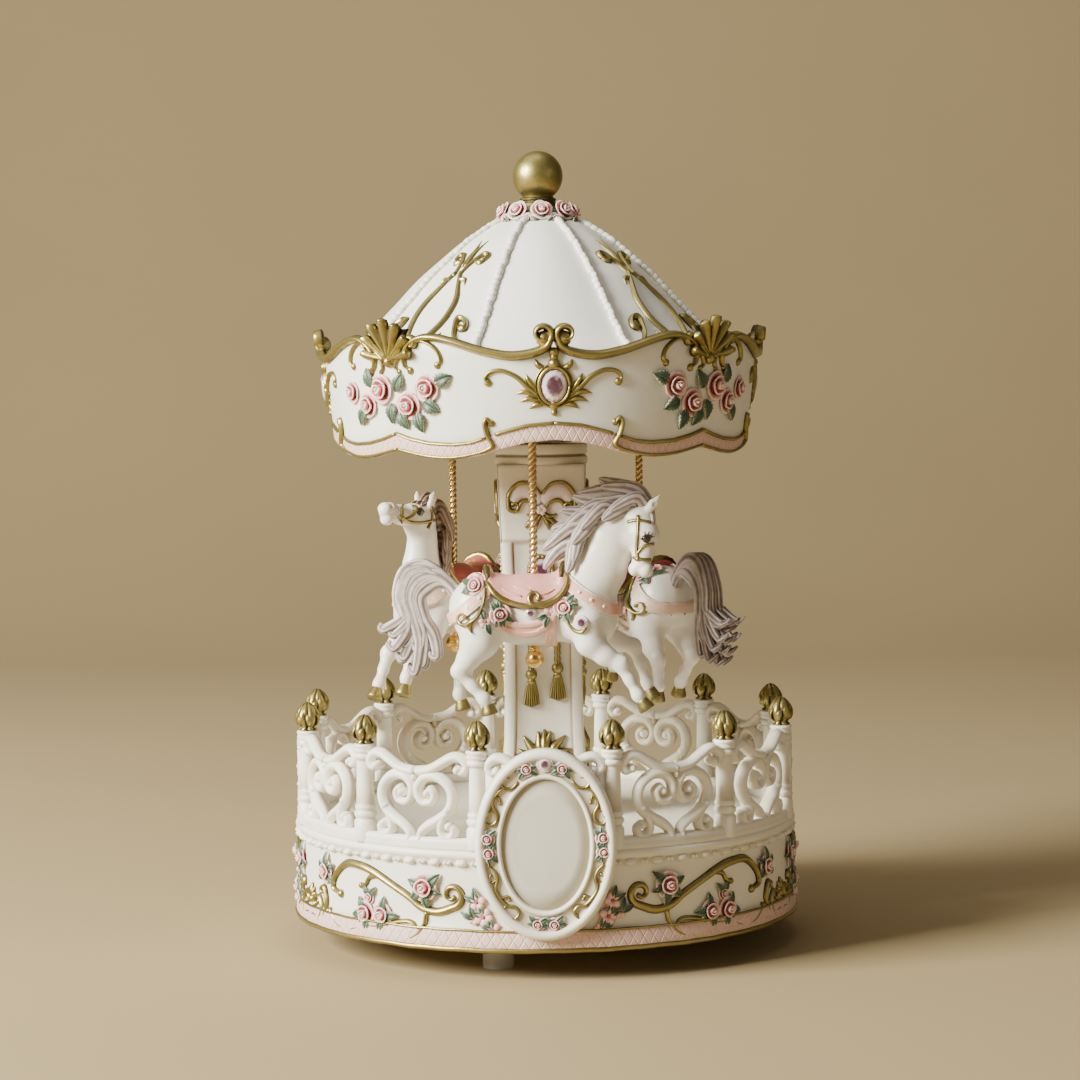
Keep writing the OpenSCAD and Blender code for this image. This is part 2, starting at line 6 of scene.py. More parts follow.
import bmesh
import bpy
import numpy as np
import openvdb
from mathutils import Euler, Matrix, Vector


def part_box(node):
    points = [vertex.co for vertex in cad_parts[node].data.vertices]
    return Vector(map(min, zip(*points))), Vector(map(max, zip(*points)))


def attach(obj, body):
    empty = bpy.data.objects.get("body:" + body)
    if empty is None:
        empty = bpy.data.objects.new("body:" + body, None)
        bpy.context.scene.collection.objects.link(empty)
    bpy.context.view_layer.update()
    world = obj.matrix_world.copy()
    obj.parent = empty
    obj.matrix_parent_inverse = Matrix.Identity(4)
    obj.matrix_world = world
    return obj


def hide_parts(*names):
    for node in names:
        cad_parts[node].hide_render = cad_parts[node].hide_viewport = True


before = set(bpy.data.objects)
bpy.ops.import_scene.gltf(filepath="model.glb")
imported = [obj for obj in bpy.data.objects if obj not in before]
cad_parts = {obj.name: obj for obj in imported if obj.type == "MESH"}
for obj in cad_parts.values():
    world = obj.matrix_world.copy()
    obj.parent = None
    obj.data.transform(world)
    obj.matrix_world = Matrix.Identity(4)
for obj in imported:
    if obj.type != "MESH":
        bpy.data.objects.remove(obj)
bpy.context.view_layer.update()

# ---- the table, the light and the camera ----
# The object stands on a pale table in front of a plain pale wall, lit by one large soft light from
# the left and filled faintly from the right.

MM = 0.001
TABLE = (0.35, 0.262, 0.135)
LENS = 96.4
EYE = (0.0, -0.925, 0.1785)
LOOK_DOWN = math.radians(3.22)
CANTED = math.radians(0.7)

camera = bpy.data.objects.new("camera", bpy.data.cameras.new("camera"))
bpy.context.collection.objects.link(camera)
bpy.context.scene.camera = camera
camera.data.lens = LENS
camera.data.sensor_width = 36
camera.location = EYE
camera.rotation_euler = Euler((math.pi / 2 - LOOK_DOWN, CANTED, 0), "XYZ")


def sweep_of_table():
    """A floor that curves up into a wall behind the object."""
    far, rise, bend, wide = 1.6, 2.2, 0.7, 6
    edge = [(-3.5, 0), (far - bend, 0)]
    for i in range(1, 13):
        a = i / 12 * math.pi / 2
        edge.append((far - bend + bend * math.sin(a), bend - bend * math.cos(a)))
    edge.append((far, rise))
    points = [(x, y, z) for y, z in edge for x in (-wide, wide)]
    faces = [(2 * i, 2 * i + 1, 2 * i + 3, 2 * i + 2) for i in range(len(edge) - 1)]
    mesh = bpy.data.meshes.new("table")
    mesh.from_pydata(points, [], faces)
    mesh.shade_smooth()
    table = bpy.data.objects.new("table", mesh)
    bpy.context.collection.objects.link(table)
    return table


def softbox(name, place, aim, size, power, colour):
    """A square area light that looks at a point."""
    light = bpy.data.lights.new(name, "AREA")
    light.size = size
    light.energy = power
    light.color = colour
    lamp = bpy.data.objects.new(name, light)
    bpy.context.collection.objects.link(lamp)
    lamp.location = place
    away = np.array(place) - np.array(aim)
    flat = math.hypot(away[0], away[1])
    lamp.rotation_euler = (math.atan2(flat, away[2]), 0, math.atan2(away[0], -away[1]))


softbox("window", (-1.15, -0.62, 0.72), (0, 0, 0.13), 0.62, 84, (1.0, 0.99, 0.90))
softbox("reflector", (1.3, -0.9, 0.5), (0, 0, 0.12), 1.0, 1.5, (1.0, 0.9, 0.78))
softbox("sky", (-0.3, 0.05, 1.7), (0, 0, 0.1), 1.2, 7, (1.0, 0.96, 0.9))
world = bpy.data.worlds.new("room")
bpy.context.scene.world = world
world.use_nodes = True
world.node_tree.nodes["Background"].inputs["Color"].default_value = (0.62, 0.55, 0.45, 1)
world.node_tree.nodes["Background"].inputs["Strength"].default_value = 0.25


class Wire:
    """A shader socket that takes part in plain arithmetic, one Math node for each sign."""

    def __init__(self, paint, socket):
        self.paint, self.socket = paint, socket

    def math(self, operation, *others):
        return self.paint.node("ShaderNodeMath", {"operation": operation}, [self, *others])

    def __add__(self, other):
        return self.math("ADD", other)

    def __mul__(self, other):
        return self.math("MULTIPLY", other)

    def __sub__(self, other):
        return self.math("SUBTRACT", other)

    def __rsub__(self, other):
        return self.paint.node("ShaderNodeMath", {"operation": "SUBTRACT"}, [other, self])

    __radd__ = __add__
    __rmul__ = __mul__

    def ramp(self, low, high):
        """0 below low, 1 above high, and smooth between."""
        settings = {"interpolation_type": "SMOOTHSTEP"}
        return self.paint.node("ShaderNodeMapRange", settings, [self, low, high, 0.0, 1.0])


class Paint:
    """One material, mixed from the object's own coordinates and from what its mesh carries."""

    def __init__(self, name, **finish):
        self.material = bpy.data.materials.new(name)
        self.material.use_nodes = True
        self.nodes = self.material.node_tree.nodes
        self.bsdf = self.nodes["Principled BSDF"]
        for socket, value in finish.items():
            self.bsdf.inputs[socket.replace("_", " ")].default_value = value
        self.place = self.node("ShaderNodeTexCoord", {}, [], "Object")

    def node(self, kind, settings, values, output=0):
        """A node of that kind: settings first, then the values or wires of its sockets."""
        node = self.nodes.new(kind)
        for key, value in settings.items():
            setattr(node, key, value)
        pairs = values.items() if isinstance(values, dict) else enumerate(values)
        for key, value in pairs:
            if isinstance(value, Wire):
                self.material.node_tree.links.new(value.socket, node.inputs[key])
            elif value is not None:
                node.inputs[key].default_value = value
        return Wire(self, node.outputs[output])

    def noise(self, size_mm, detail=3.0, rough=0.55):
        """Cloudy noise with features of about that size."""
        values = {"Vector": self.place, "Scale": 1 / (size_mm * MM), "Detail": detail, "Roughness": rough}
        return self.node("ShaderNodeTexNoise", {}, values, "Fac")

    def carried(self, name):
        """A value that the mesh holds at each point."""
        return self.node("ShaderNodeAttribute", {"attribute_name": name}, [], "Fac")

    def mix(self, share, one, other):
        """Colour one where share is 0, and the other where it is 1."""
        tones = {0: share, 6: one, 7: other}
        tones = {k: (*v, 1) if isinstance(v, tuple) else v for k, v in tones.items()}
        return self.node("ShaderNodeMix", {"data_type": "RGBA"}, tones, 2)

    def feed(self, **sockets):
        for socket, wire in sockets.items():
            self.material.node_tree.links.new(wire.socket, self.bsdf.inputs[socket.replace("_", " ")])
        return self

    def bump(self, height, depth_mm, strength=1.0):
        values = {"Height": height, "Distance": depth_mm * MM, "Strength": strength}
        return self.feed(Normal=self.node("ShaderNodeBump", {}, values, "Normal"))


def paper():
    paint = Paint("table_paper", Roughness=0.85)
    tone = paint.noise(300, 2)
    return paint.feed(Base_Color=paint.mix(tone.ramp(0.2, 0.8), TABLE,
        tuple(c * 0.94 for c in TABLE))).material


sweep_of_table().data.materials.append(paper())


# ---- ivory resin ----
# Drum, fence, column and canopy are cast in resin of one colour and rubbed with a thin brown wash,
# which stays in the hollows; the hollows are also darkened with painted shade. The castings here are gathered
# point by point in a Clay.

IVORY = (0.88, 0.845, 0.745)
IVORY_SHADE = (0.50, 0.40, 0.25)


def ivory(name="ivory_resin", light=IVORY, shade=IVORY_SHADE, gloss=0.42):
    paint = Paint(name, Roughness=gloss, Coat_Weight=0.15, Coat_Roughness=0.3)
    paint.bsdf.inputs["Subsurface Weight"].default_value = 0.12
    paint.bsdf.inputs["Subsurface Radius"].default_value = (1.0, 0.8, 0.6)
    paint.bsdf.inputs["Subsurface Scale"].default_value = 1.2 * MM
    cloud = paint.noise(9, 4)
    grain = paint.noise(1.1, 3)
    # Painted shade: where the mesh's tone is low, in hollows, creases and under mouldings, the colour turns
    # to the shade colour; part is the real brown wash, part is painted shade.
    hollow = 1 - paint.carried("tone")
    mix_share = (hollow * 0.75 + (cloud - 0.5) * 0.35 + (grain - 0.5) * 0.12).ramp(0.08, 0.85)
    paint.feed(Base_Color=paint.mix(mix_share, light, shade))
    paint.feed(Roughness=grain * 0.16 + (gloss - 0.08))
    return paint.bump(grain * 0.7 + cloud, 0.11, 0.35).material


class Clay:
    """Closed shapes gathered in millimetres before they become one casting."""

    def __init__(self):
        self.points, self.faces, self.tones, self.mats = [], [], [], []
        self.count = 0

    def block(self, grid, tone=1.0, mat=0, ring=True, loop=False):
        """Skins a grid of rows of points. ring closes each row, loop joins the last row to the first;
        otherwise the first and last rows are capped."""
        grid = np.asarray(grid, float)
        rows, cols = grid.shape[:2]
        tone = np.broadcast_to(np.asarray(tone, float), (rows, cols))
        index = np.arange(rows * cols).reshape(rows, cols) + self.count
        across = np.roll(index, -1, 1) if ring else index[:, 1:]
        near = index if ring else index[:, :-1]
        if loop:
            above, above_next = np.roll(near, -1, 0), np.roll(across, -1, 0)
        else:
            above, above_next = near[1:], across[1:]
            near, across = near[:-1], across[:-1]
        quads = np.stack([near, across, above_next, above], -1).reshape(-1, 4)
        self.faces += quads.tolist()
        self.mats += [mat] * len(quads)
        if ring and not loop:
            self.faces += [index[0, ::-1].tolist(), index[-1].tolist()]
            self.mats += [mat] * 2
        self.points.append(grid.reshape(-1, 3))
        self.tones.append(tone.reshape(-1))
        self.count += rows * cols

    def strand(self, place, line, width, height, sink=0.4, crest=2.0, mat=0, tone=(0.0, 1.0), sides=10,
            lift=0):
        """A raised rib along a line of flat points, laid on a surface by place(u, v, height)."""
        line = np.asarray(line, float)
        n = len(line)
        share = np.linspace(0, 1, n)
        wide = sized(width, share)[:, None] / 2
        tall = sized(height, share)[:, None]
        ahead = np.gradient(line, axis=0)
        ahead /= np.linalg.norm(ahead, axis=1)[:, None] + 1e-9
        side = np.stack([-ahead[:, 1], ahead[:, 0]], 1)
        turn = np.arange(sides) * 2 * math.pi / sides
        reach = np.cos(turn)[None, :]
        up = 1 - np.abs(reach) ** crest
        up = np.where(np.sin(turn)[None, :] >= 0, up * tall, -up * sink)
        u = line[:, :1] + side[:, :1] * reach * wide
        v = line[:, 1:] + side[:, 1:] * reach * wide
        h = up + sized(lift, share)[:, None]
        shade = tone[0] + (tone[1] - tone[0]) * np.clip(np.sin(turn), 0, 1)[None, :] ** 0.7
        self.block(np.stack(place(u, v, h), -1), np.broadcast_to(shade, u.shape), mat)

    def knob(self, place, u, v, radius, height=None, mat=0, lift=0, tone=(0.2, 1.0), rings=7, sides=12):
        """A rounded boss."""
        height = radius if height is None else height
        a = np.linspace(0.06, math.pi - 0.06, rings)[:, None]
        b = (np.arange(sides) * 2 * math.pi / sides)[None, :]
        du, dv, h = np.sin(a) * np.cos(b), np.sin(a) * np.sin(b), np.cos(a) + 0 * b
        shade = tone[0] + (tone[1] - tone[0]) * np.clip(h * 0.5 + 0.5, 0, 1)
        grid = place(u + du * radius, v + dv * radius, lift + h * height)
        self.block(np.stack(grid, -1), shade, mat)

    def stand(self, degrees, dx, dy):
        """Turns what is gathered about the Z axis and carries it to its place."""
        c, s = math.cos(math.radians(degrees)), math.sin(math.radians(degrees))
        turn = np.array([[c, s, 0], [-s, c, 0], [0, 0, 1]])
        self.points = [p @ turn + [dx, dy, 0] for p in self.points]

    def cast(self, name, body, slot, *materials, smooth=True):
        """The finished casting: a mesh object that rides on a body; its slot argument is not used."""
        mesh = bpy.data.meshes.new(name)
        points = np.concatenate(self.points) * MM
        mesh.from_pydata(points, [], self.faces)
        carry = mesh.attributes.new("tone", "FLOAT", "POINT")
        carry.data.foreach_set("value", np.concatenate(self.tones).astype(np.float32))
        for material in materials:
            mesh.materials.append(material)
        mesh.polygons.foreach_set("material_index", self.mats)
        turn_out(mesh)
        if smooth:
            mesh.shade_smooth()
        piece = bpy.data.objects.new(name, mesh)
        bpy.context.collection.objects.link(piece)
        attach(piece, body)
        return piece


def turn_out(mesh):
    """Turns every closed shell's faces outward."""
    work = bmesh.new()
    work.from_mesh(mesh)
    bmesh.ops.recalc_face_normals(work, faces=work.faces)
    work.to_mesh(mesh)
    work.free()


def sized(value, share):
    """A size along a rib: one number, a list that is spread along it, or a function of the share."""
    if callable(value):
        return value(share)
    value = np.atleast_1d(np.asarray(value, float))
    return np.interp(share, np.linspace(0, 1, len(value)), value) if len(value) > 1 else value[0] + 0 * share


def flowing(points, steps=10, closed=False):
    """A smooth line through given points."""
    p = [np.array(q, float) for q in points]
    p = [p[-1], *p, p[0], p[1]] if closed else [2 * p[0] - p[1], *p, 2 * p[-1] - p[-2]]
    line = []
    for a, b, c, d in zip(p, p[1:], p[2:], p[3:]):
        for i in range(steps):
            t = i / steps
            line.append(0.5 * (2 * b + (c - a) * t + (2 * a - 5 * b + 4 * c - d) * t**2
                               + (3 * b - a - 3 * c + d) * t**3))
    if not closed:
        line.append(p[-2])
    return np.array(line)


def curled(line, first, last, turn, side=1, steps=18):
    """Winds a volute onto the end of a line: radius from first to last over a turn in degrees,
    to the left for side 1 and to the right for -1."""
    line = list(line)
    ahead = line[-1] - line[-2]
    heading = math.atan2(ahead[1], ahead[0])
    step = math.radians(turn) / steps
    for i in range(steps):
        radius = first + (last - first) * (i + 0.5) / steps
        heading += side * step / 2
        line.append(line[-1] + radius * step * np.array([math.cos(heading), math.sin(heading)]))
        heading += side * step / 2
    return np.array(line)


def curled_both(points, start, end, steps=10):
    """A flowing line with a volute at each end; start and end are (first, last, turn, side)."""
    line = curled(flowing(points, steps), *end)
    return curled(line[::-1], *start)[::-1]


def flipped(line, sign):
    """A line, mirrored left to right for sign -1."""
    return np.asarray(line, float) * [sign, 1]


def bent(points, steps, sign):
    """A flowing line, mirrored left to right for sign -1."""
    return flipped(flowing(points, steps), sign)


def above(base, *outline):
    """An outline of (radius, height over base), with its heights made absolute."""
    return [(r, base + z) for r, z in outline]


def oval(a, b, count, u=0.0, v=0.0):
    """A closed oval line with its centre at (u, v)."""
    return np.array([(u + a * math.cos(t), v + b * math.sin(t)) for t in np.linspace(0, 2 * math.pi, count)])


def turned(outline, sides):
    """Rows of points for a shape turned on the axis, from its outline of (radius, height)."""
    a = np.arange(sides) * 2 * math.pi / sides
    outline = np.asarray(outline, float)
    r, z = outline[:, :1], outline[:, 1:]
    return np.stack([r * np.sin(a), -r * np.cos(a), z + 0 * a], -1)


# ---- drum ----
# The round base is one hollow casting. From its foot up it has a pink lattice band between gold
# rims, a plain wall that carries the gold scrolls, a row of bars and pearls, and a coved ledge.

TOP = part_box("base_drum")[1][2] / MM
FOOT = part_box("base_drum")[0][2] / MM
WALL_R = 78.7
BAND_R = 80.2
PINK = (0.80, 0.52, 0.46)
GOLD = (0.40, 0.325, 0.115)
GOLD_SHADE = (0.045, 0.034, 0.012)


def gold_paint(name="antique_gold_painted_light", light=GOLD, shade=GOLD_SHADE, rough=0.33):
    paint = Paint(name, Metallic=0.9, Roughness=rough)
    cloud = paint.noise(2.5, 4)
    fleck = paint.noise(0.5, 2)
    # Painted light: high tone on crests gives a painted highlight and low tone in hollows a painted shade,
    # mixed with wear and flecks.
    lit_and_worn = (paint.carried("tone") * 0.9 + (cloud - 0.5) * 0.6 + (fleck - 0.5) * 0.25).ramp(0.15, 0.95)
    paint.feed(Base_Color=paint.mix(lit_and_worn, shade, light))
    paint.feed(Roughness=(1 - lit_and_worn) * 0.3 + fleck * 0.16 + (rough - 0.08))
    return paint.bump(cloud + fleck * 0.6, 0.12, 0.5).material


def pink_lattice(pitch_u=3.3):
    """Pale pink, scored with diamonds, with ivory in the lines; tone runs across the band."""
    paint = Paint("pink_lattice", Roughness=0.45, Coat_Weight=0.1)
    x = paint.node("ShaderNodeSeparateXYZ", {}, [paint.place], 0)
    y = paint.node("ShaderNodeSeparateXYZ", {}, [paint.place], 1)
    count = round(2 * math.pi * BAND_R / pitch_u)
    along = x.math("ARCTAN2", y) * (count / (2 * math.pi)) + count
    rise = paint.carried("tone")
    slants = [((along + rise * sign).math("FRACT") - 0.5).math("ABSOLUTE") * 2 for sign in (1, -1)]
    lines = slants[0].math("MAXIMUM", slants[1]).ramp(0.78, 0.96)
    cloud = paint.noise(3, 3)
    mix_share = (lines * 0.85 + (cloud - 0.5) * 0.4).ramp(0.0, 1.0)
    paint.feed(Base_Color=paint.mix(mix_share, PINK, (0.88, 0.74, 0.66)))
    return paint.bump(1 - lines, 0.3, 0.9).material


IVORY_PAINT = ivory()
GOLD_PAINT = gold_paint()
PINK_PAINT = pink_lattice()


def on_wall(angle, radius=WALL_R):
    """Lays flat work (u along the wall, v up, h out) on the drum's wall, centred at that angle."""

    def place(u, v, h):
        a = math.radians(angle) + u / radius
        r = radius + h
        return r * np.sin(a), -r * np.cos(a), v + 0 * a

    return place


def drum():
    clay = Clay()
    inner = 74.2
    outline = above(FOOT,
        (inner, 5.8), (inner, 0.5), (BAND_R - 1.2, 0.1), (BAND_R, 0.5), (BAND_R + 0.2, 1.2),
        (BAND_R - 0.1, 2), (BAND_R - 0.2, 4), (BAND_R - 0.4, 6.2), (BAND_R - 0.5, 6.8),
        (WALL_R + 0.5, 7.2), (WALL_R + 0.15, 7.8), (WALL_R + 0.05, 11), (WALL_R - 0.1, 18)) + above(TOP,
        (WALL_R - 0.25, -6.2), (WALL_R - 0.2, -4.9), (WALL_R + 0.1, -4.1), (WALL_R + 0.15, -3.2),
        (WALL_R + 0.7, -2.8), (WALL_R + 1.3, -2.2), (WALL_R + 1.4, -1.4), (WALL_R + 1.0, -0.6),
        (WALL_R + 0.3, -0.2), (WALL_R - 0.2, 0), (74, 0.05), (40, 0), (5.2, 0), (5.2, -3),
        (inner - 1, -3), (inner, -4))
    shade = ([0.5] * 4 + [1] * 5 + [0.4, 0.6] + [1] * 3 + [0.5, 0.35, 0.5, 0.9] + [1] * 3
             + [0.8] + [0.75] * 3 + [0.5] * 4)
    grid = turned(outline, 256)
    clay.block(grid, np.array(shade)[:, None], loop=True)
    lattice_band(clay, lambda d: FOOT + 1.6 + 0 * d, lambda d: FOOT + 6.7 + 0 * d,
        lambda z: BAND_R - 0.05 - (z - FOOT) * 0.09, 0.3)
    for low, high, reach in ((FOOT + 0.2, FOOT + 1.8, 0.75), (FOOT + 6.3, FOOT + 7.1, 0.35)):
        ribbon(clay, low, high, BAND_R - 0.2, reach, mat=2, rough=0.18)
    piece = clay.cast("drum_casting", "root", "resin", IVORY_PAINT, PINK_PAINT, GOLD_PAINT)
    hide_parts("base_drum")


def lattice_band(clay, low, high, radius, proud, mat=1, sides=480):
    """A pink band between two heights that vary round it; its tone runs from edge to edge."""
    deg = np.arange(sides) * 360 / sides
    a = np.radians(deg)
    z0, z1 = low(deg), high(deg)
    rows, tones = [], []
    for share, out in ((0, -1.6), (0, proud * 0.6), (0.04, proud), (0.35, proud), (0.65, proud),
            (0.96, proud), (1, proud * 0.6), (1, -1.6)):
        z = z0 + (z1 - z0) * share
        r = radius(z) + out
        rows.append(np.stack([r * np.sin(a), -r * np.cos(a), z], -1))
        tones.append(share)
    clay.block(rows, np.array(tones)[:, None], mat, loop=True)


def ribbon(clay, low, high, radius, reach, mat=0, rough=0.0, sides=384):
    """A half-round moulding that goes all round; rough lets its edges wander like hand painting."""
    a = np.arange(sides) * 2 * math.pi / sides
    turn = np.linspace(0, 2 * math.pi, 9)[:-1]
    drift = rough * (np.sin(7 * a) + np.sin(17 * a + 1) + np.sin(41 * a + 2)) / 3
    rows = []
    for t in turn:
        r = radius - 0.5 + (reach + 0.5) * (0.5 + 0.5 * math.cos(t)) + 0 * a
        z = (low + high) / 2 + (high - low) / 2 * math.sin(t) + drift
        rows.append(np.stack([r * np.sin(a), -r * np.cos(a), z], -1))
    clay.block(rows, np.clip(0.3 + 0.7 * np.cos(turn), 0.3, 1)[:, None], mat, ring=True, loop=True)


def bars_and_pearls():
    """The moulding under the ledge: a long bar, then a small pearl, all round."""
    clay = Clay()
    place = on_wall(0)
    count = 58
    pitch = 2 * math.pi * WALL_R / count
    z = TOP - 4.1
    for i in range(count):
        u = i * pitch
        bar = np.array([[u - 1.7, z], [u - 1.4, z], [u - 0.6, z], [u + 0.6, z], [u + 1.4, z], [u + 1.7, z]])
        clay.strand(place, bar, [0.5, 1.9, 2.4, 2.4, 1.9, 0.5], [0.3, 1.3, 1.7, 1.7, 1.3, 0.3], tone=(0.1, 1),
            sides=12)
        for side in (-0.62, 0.62):
            clay.knob(place, u + pitch / 2 + side, z, 0.68, 1.3, tone=(0.1, 1), rings=5, sides=9)
    clay.cast("bars_and_pearls", "root", "resin", IVORY_PAINT)


drum()
bars_and_pearls()


# ---- roses and leaves ----
# Cast roses, leaves and small flowers are set on the drum, the frame, the fascia and the saddles.
# A rose has five outer petals, three that stand, and a furled heart; a leaf is folded at its rib.

ROSE = (0.80, 0.40, 0.37)
ROSE_SHADE = (0.36, 0.06, 0.09)
LEAF = (0.09, 0.145, 0.085)
LEAF_SHADE = (0.02, 0.05, 0.03)


def petal_paint(name="rose_paint", light=ROSE, shade=ROSE_SHADE):
    paint = Paint(name, Roughness=0.42, Coat_Weight=0.12)
    cloud = paint.noise(1.2, 3)
    bright = paint.carried("tone") + (cloud - 0.5) * 0.3
    body = paint.mix(bright.ramp(0.05, 0.62), shade, light)
    paint.feed(Base_Color=paint.mix(bright.ramp(0.55, 1.0), body, (0.94, 0.82, 0.78)))
    return paint.bump(cloud, 0.06, 0.4).material


def leaf_paint():
    paint = Paint("leaf_paint", Roughness=0.45, Coat_Weight=0.1)
    cloud = paint.noise(0.9, 3)
    bright = paint.carried("tone") + (cloud - 0.5) * 0.45
    body = paint.mix(bright.ramp(0.05, 0.7), LEAF_SHADE, LEAF)
    paint.feed(Base_Color=paint.mix(bright.ramp(0.7, 1.0), body, (0.72, 0.72, 0.58)))
    return paint.bump(cloud, 0.08, 0.5).material


ROSE_PAINT = petal_paint()
LEAF_PAINT = leaf_paint()


def at(place, u, v, turn=0.0, lift=0.0, size=1.0):
    """The same surface, seen from a point on it: turned in degrees, lifted and scaled."""
    c, s = math.cos(math.radians(turn)), math.sin(math.radians(turn))

    def local(x, y, h):
        return place(u + size * (c * x - s * y), v + size * (s * x + c * y), lift + size * h)

    return local


def petal(clay, place, angle, half, base, belly, rim, thick, mat):
    """One petal; base, belly and rim are (distance from the rose's axis, height) of its side."""
    side = flowing([base, belly, rim], 3)
    across = np.linspace(-1, 1, 7)
    rows = []
    for a in across:
        fall = 1 - 0.45 * abs(a) ** 2.3
        r = side[:, 0] * (0.74 + 0.26 * fall)
        h = base[1] + (side[:, 1] - base[1]) * fall
        bow = angle + math.radians(half) * a * (0.35 + 0.65 * np.linspace(0, 1, len(side)) ** 0.5)
        outer = np.stack([r * np.cos(bow), r * np.sin(bow), h], -1)
        inner = np.stack([(r - thick) * np.cos(bow), (r - thick) * np.sin(bow), h + thick * 0.4], -1)
        rows.append(np.concatenate([outer, inner[::-1]]))
    g = np.array(rows)
    climb = np.linspace(0.0, 1, len(side)) ** 1.6
    tone = np.concatenate([climb, climb[::-1] * 0.8])
    clay.block(np.stack(place(g[..., 0], g[..., 1], g[..., 2]), -1), tone[None, :], mat)


def rose(clay, place, radius, turn=0.0, mat=0):
    """A full rose facing out of the surface."""
    r, start = radius, math.radians(turn)
    for count, half, base, belly, rim in (
        (5, 50, (0.40, 0.0), (0.92, 0.24), (1.20, 0.32)),
        (3, 78, (0.26, 0.1), (0.66, 0.46), (0.78, 0.66)),
        (2, 105, (0.14, 0.2), (0.34, 0.60), (0.36, 0.88)),
    ):
        start += 0.55
        for i in range(count):
            shape = [(q[0] * r, q[1] * r) for q in (base, belly, rim)]
            petal(clay, place, start + i * 2 * math.pi / count, half, *shape, 0.11 * r, mat)
    clay.knob(place, 0, 0, 0.55 * r, 0.42 * r, mat, lift=0.12 * r, tone=(0, 0.12), rings=5, sides=10)
    clay.knob(at(place, 0.03 * r, 0), 0, 0, 0.2 * r, 0.45 * r, mat, lift=0.55 * r, tone=(0, 0.9), rings=6,
        sides=8)


def leaf(clay, place, angle, length, width=None, mat=1, arch=0.22, start=0.0):
    """A pointed leaf that springs from the surface at an angle in degrees."""
    place = at(place, 0, 0, angle)
    width = 0.52 * length if width is None else width
    t = np.linspace(0, 1, 13)[:, None]
    half = width / 2 * np.sin(math.pi * t**0.75) ** 0.9 + 0.04 * length
    half = half * (1 + 0.13 * np.cos(math.pi * np.arange(13))[:, None] * (t < 0.95))
    ring = np.array([-1, -0.55, -0.12, 0, 0.12, 0.55, 1, 0.5, 0, -0.5])[None, :]
    dip = np.array([0.0, 0.55, 0.25, -0.1, 0.25, 0.55, 0.0, -0.5, -0.7, -0.5])[None, :]
    tone = np.array([1, 0.5, 0.2, 0.85, 0.2, 0.5, 1, 0.2, 0.2, 0.2])[None, :]
    x = start + t * length + 0 * ring
    y = half * ring
    h = 0.25 + arch * length * np.sin(math.pi * (0.12 + 0.8 * t)) + dip * 0.16 * length * 0.8
    clay.block(np.stack(place(x, y, h), -1), tone + 0 * t, mat)


def flower(clay, place, radius, mat=0, petals=5, turn=0.0):
    """A small open flower with round petals."""
    for i in range(petals):
        a = math.radians(turn) + i * 2 * math.pi / petals
        spot = at(place, 0.58 * radius * math.cos(a), 0.58 * radius * math.sin(a))
        clay.knob(spot, 0, 0, 0.48 * radius, 0.2 * radius, mat, lift=0.14 * radius, tone=(0.15, 0.76),
                  rings=5, sides=10)
    clay.knob(place, 0, 0, 0.24 * radius, 0.42 * radius, mat, rings=5, sides=8, tone=(0, 0.2))


def scroll(clay, place, line, width, height=None, mat=0, ball=0.0, tip=0.0, lift=0.0, crest=1.7, sides=10):
    """A cast scroll: a rib with a bead where it ends (ball) and where it starts (tip)."""
    height = np.asarray(width, float) * 0.55 if height is None else height
    clay.strand(place, line, width, height, crest=crest, mat=mat, lift=lift, sides=sides)
    for bead, end in ((ball, line[-1]), (tip, line[0])):
        if bead:
            clay.knob(place, end[0], end[1], bead, bead * 0.95, mat, lift=lift, rings=7, sides=12)


# ---- drum's relief ----
# The wall carries cast scrolls picked out in gold, with roses between them: a long S-scroll either
# side of the frame, a filigree cluster at each quarter, and a hooked border over the pink band.


def arc(degrees):
    return math.radians(degrees) * WALL_R


def polar(points):
    """Points given as (degrees round the drum, height), laid flat."""
    return [(arc(a), z) for a, z in points]


def drum_scrolls(clay, place, sign):
    line = curled(flowing(polar([(52.6, 21.6), (55.4, 23.0), (54.6, 27.0), (50.6, 31.2), (45.6, 31.4),
        (41.2, 30.0),
        (36.7, 27.4), (31.6, 24.0), (28.2, 21.0), (24.2, 20.0), (20.2, 21.8)]), 8), 3.6, 0.9, 400, -1, 30)
    scroll(clay, place, flipped(line, sign), [1.5, 2.0, 2.5, 2.9, 2.6, 2.6, 2.8, 2.3, 1.6, 1.2], 1.5,
        tip=1.35, ball=0.9)
    branch = flowing(polar([(40.2, 29.2), (42.6, 28.2), (43.6, 26.2), (45.3, 25.4)]))
    scroll(clay, place, flipped(branch, sign), [1.7, 1.3], 1.1, ball=1.0)
    hook = flowing(polar([(27.0, 19.2), (27.4, 16.4), (29.0, 13.2), (32.6, 10.8), (37.5, 9.7), (43.0, 9.6)]),
        8)
    scroll(clay, place, flipped(hook, sign), [1.3, 1.8, 1.8, 1.2], 1.7, tip=1.0)
    branch = flowing(polar([(28.6, 14.6), (31.0, 16.4), (35.0, 15.8), (39.0, 14.2), (44.0, 13.6)]), 8)
    scroll(clay, place, flipped(branch, sign), [1.0, 1.7, 1.6, 0.9], 1.6)
    for points, size in (([(46, 12.6), (50, 11.2), (54, 12.8), (57, 16.4)], 1.3),
            ([(57.5, 12), (60, 10.2), (62.5, 12)], 1.5)):
        scroll(clay, place, bent(polar(points), 6, sign), [0.8, size, size, 0.8], 1.7)


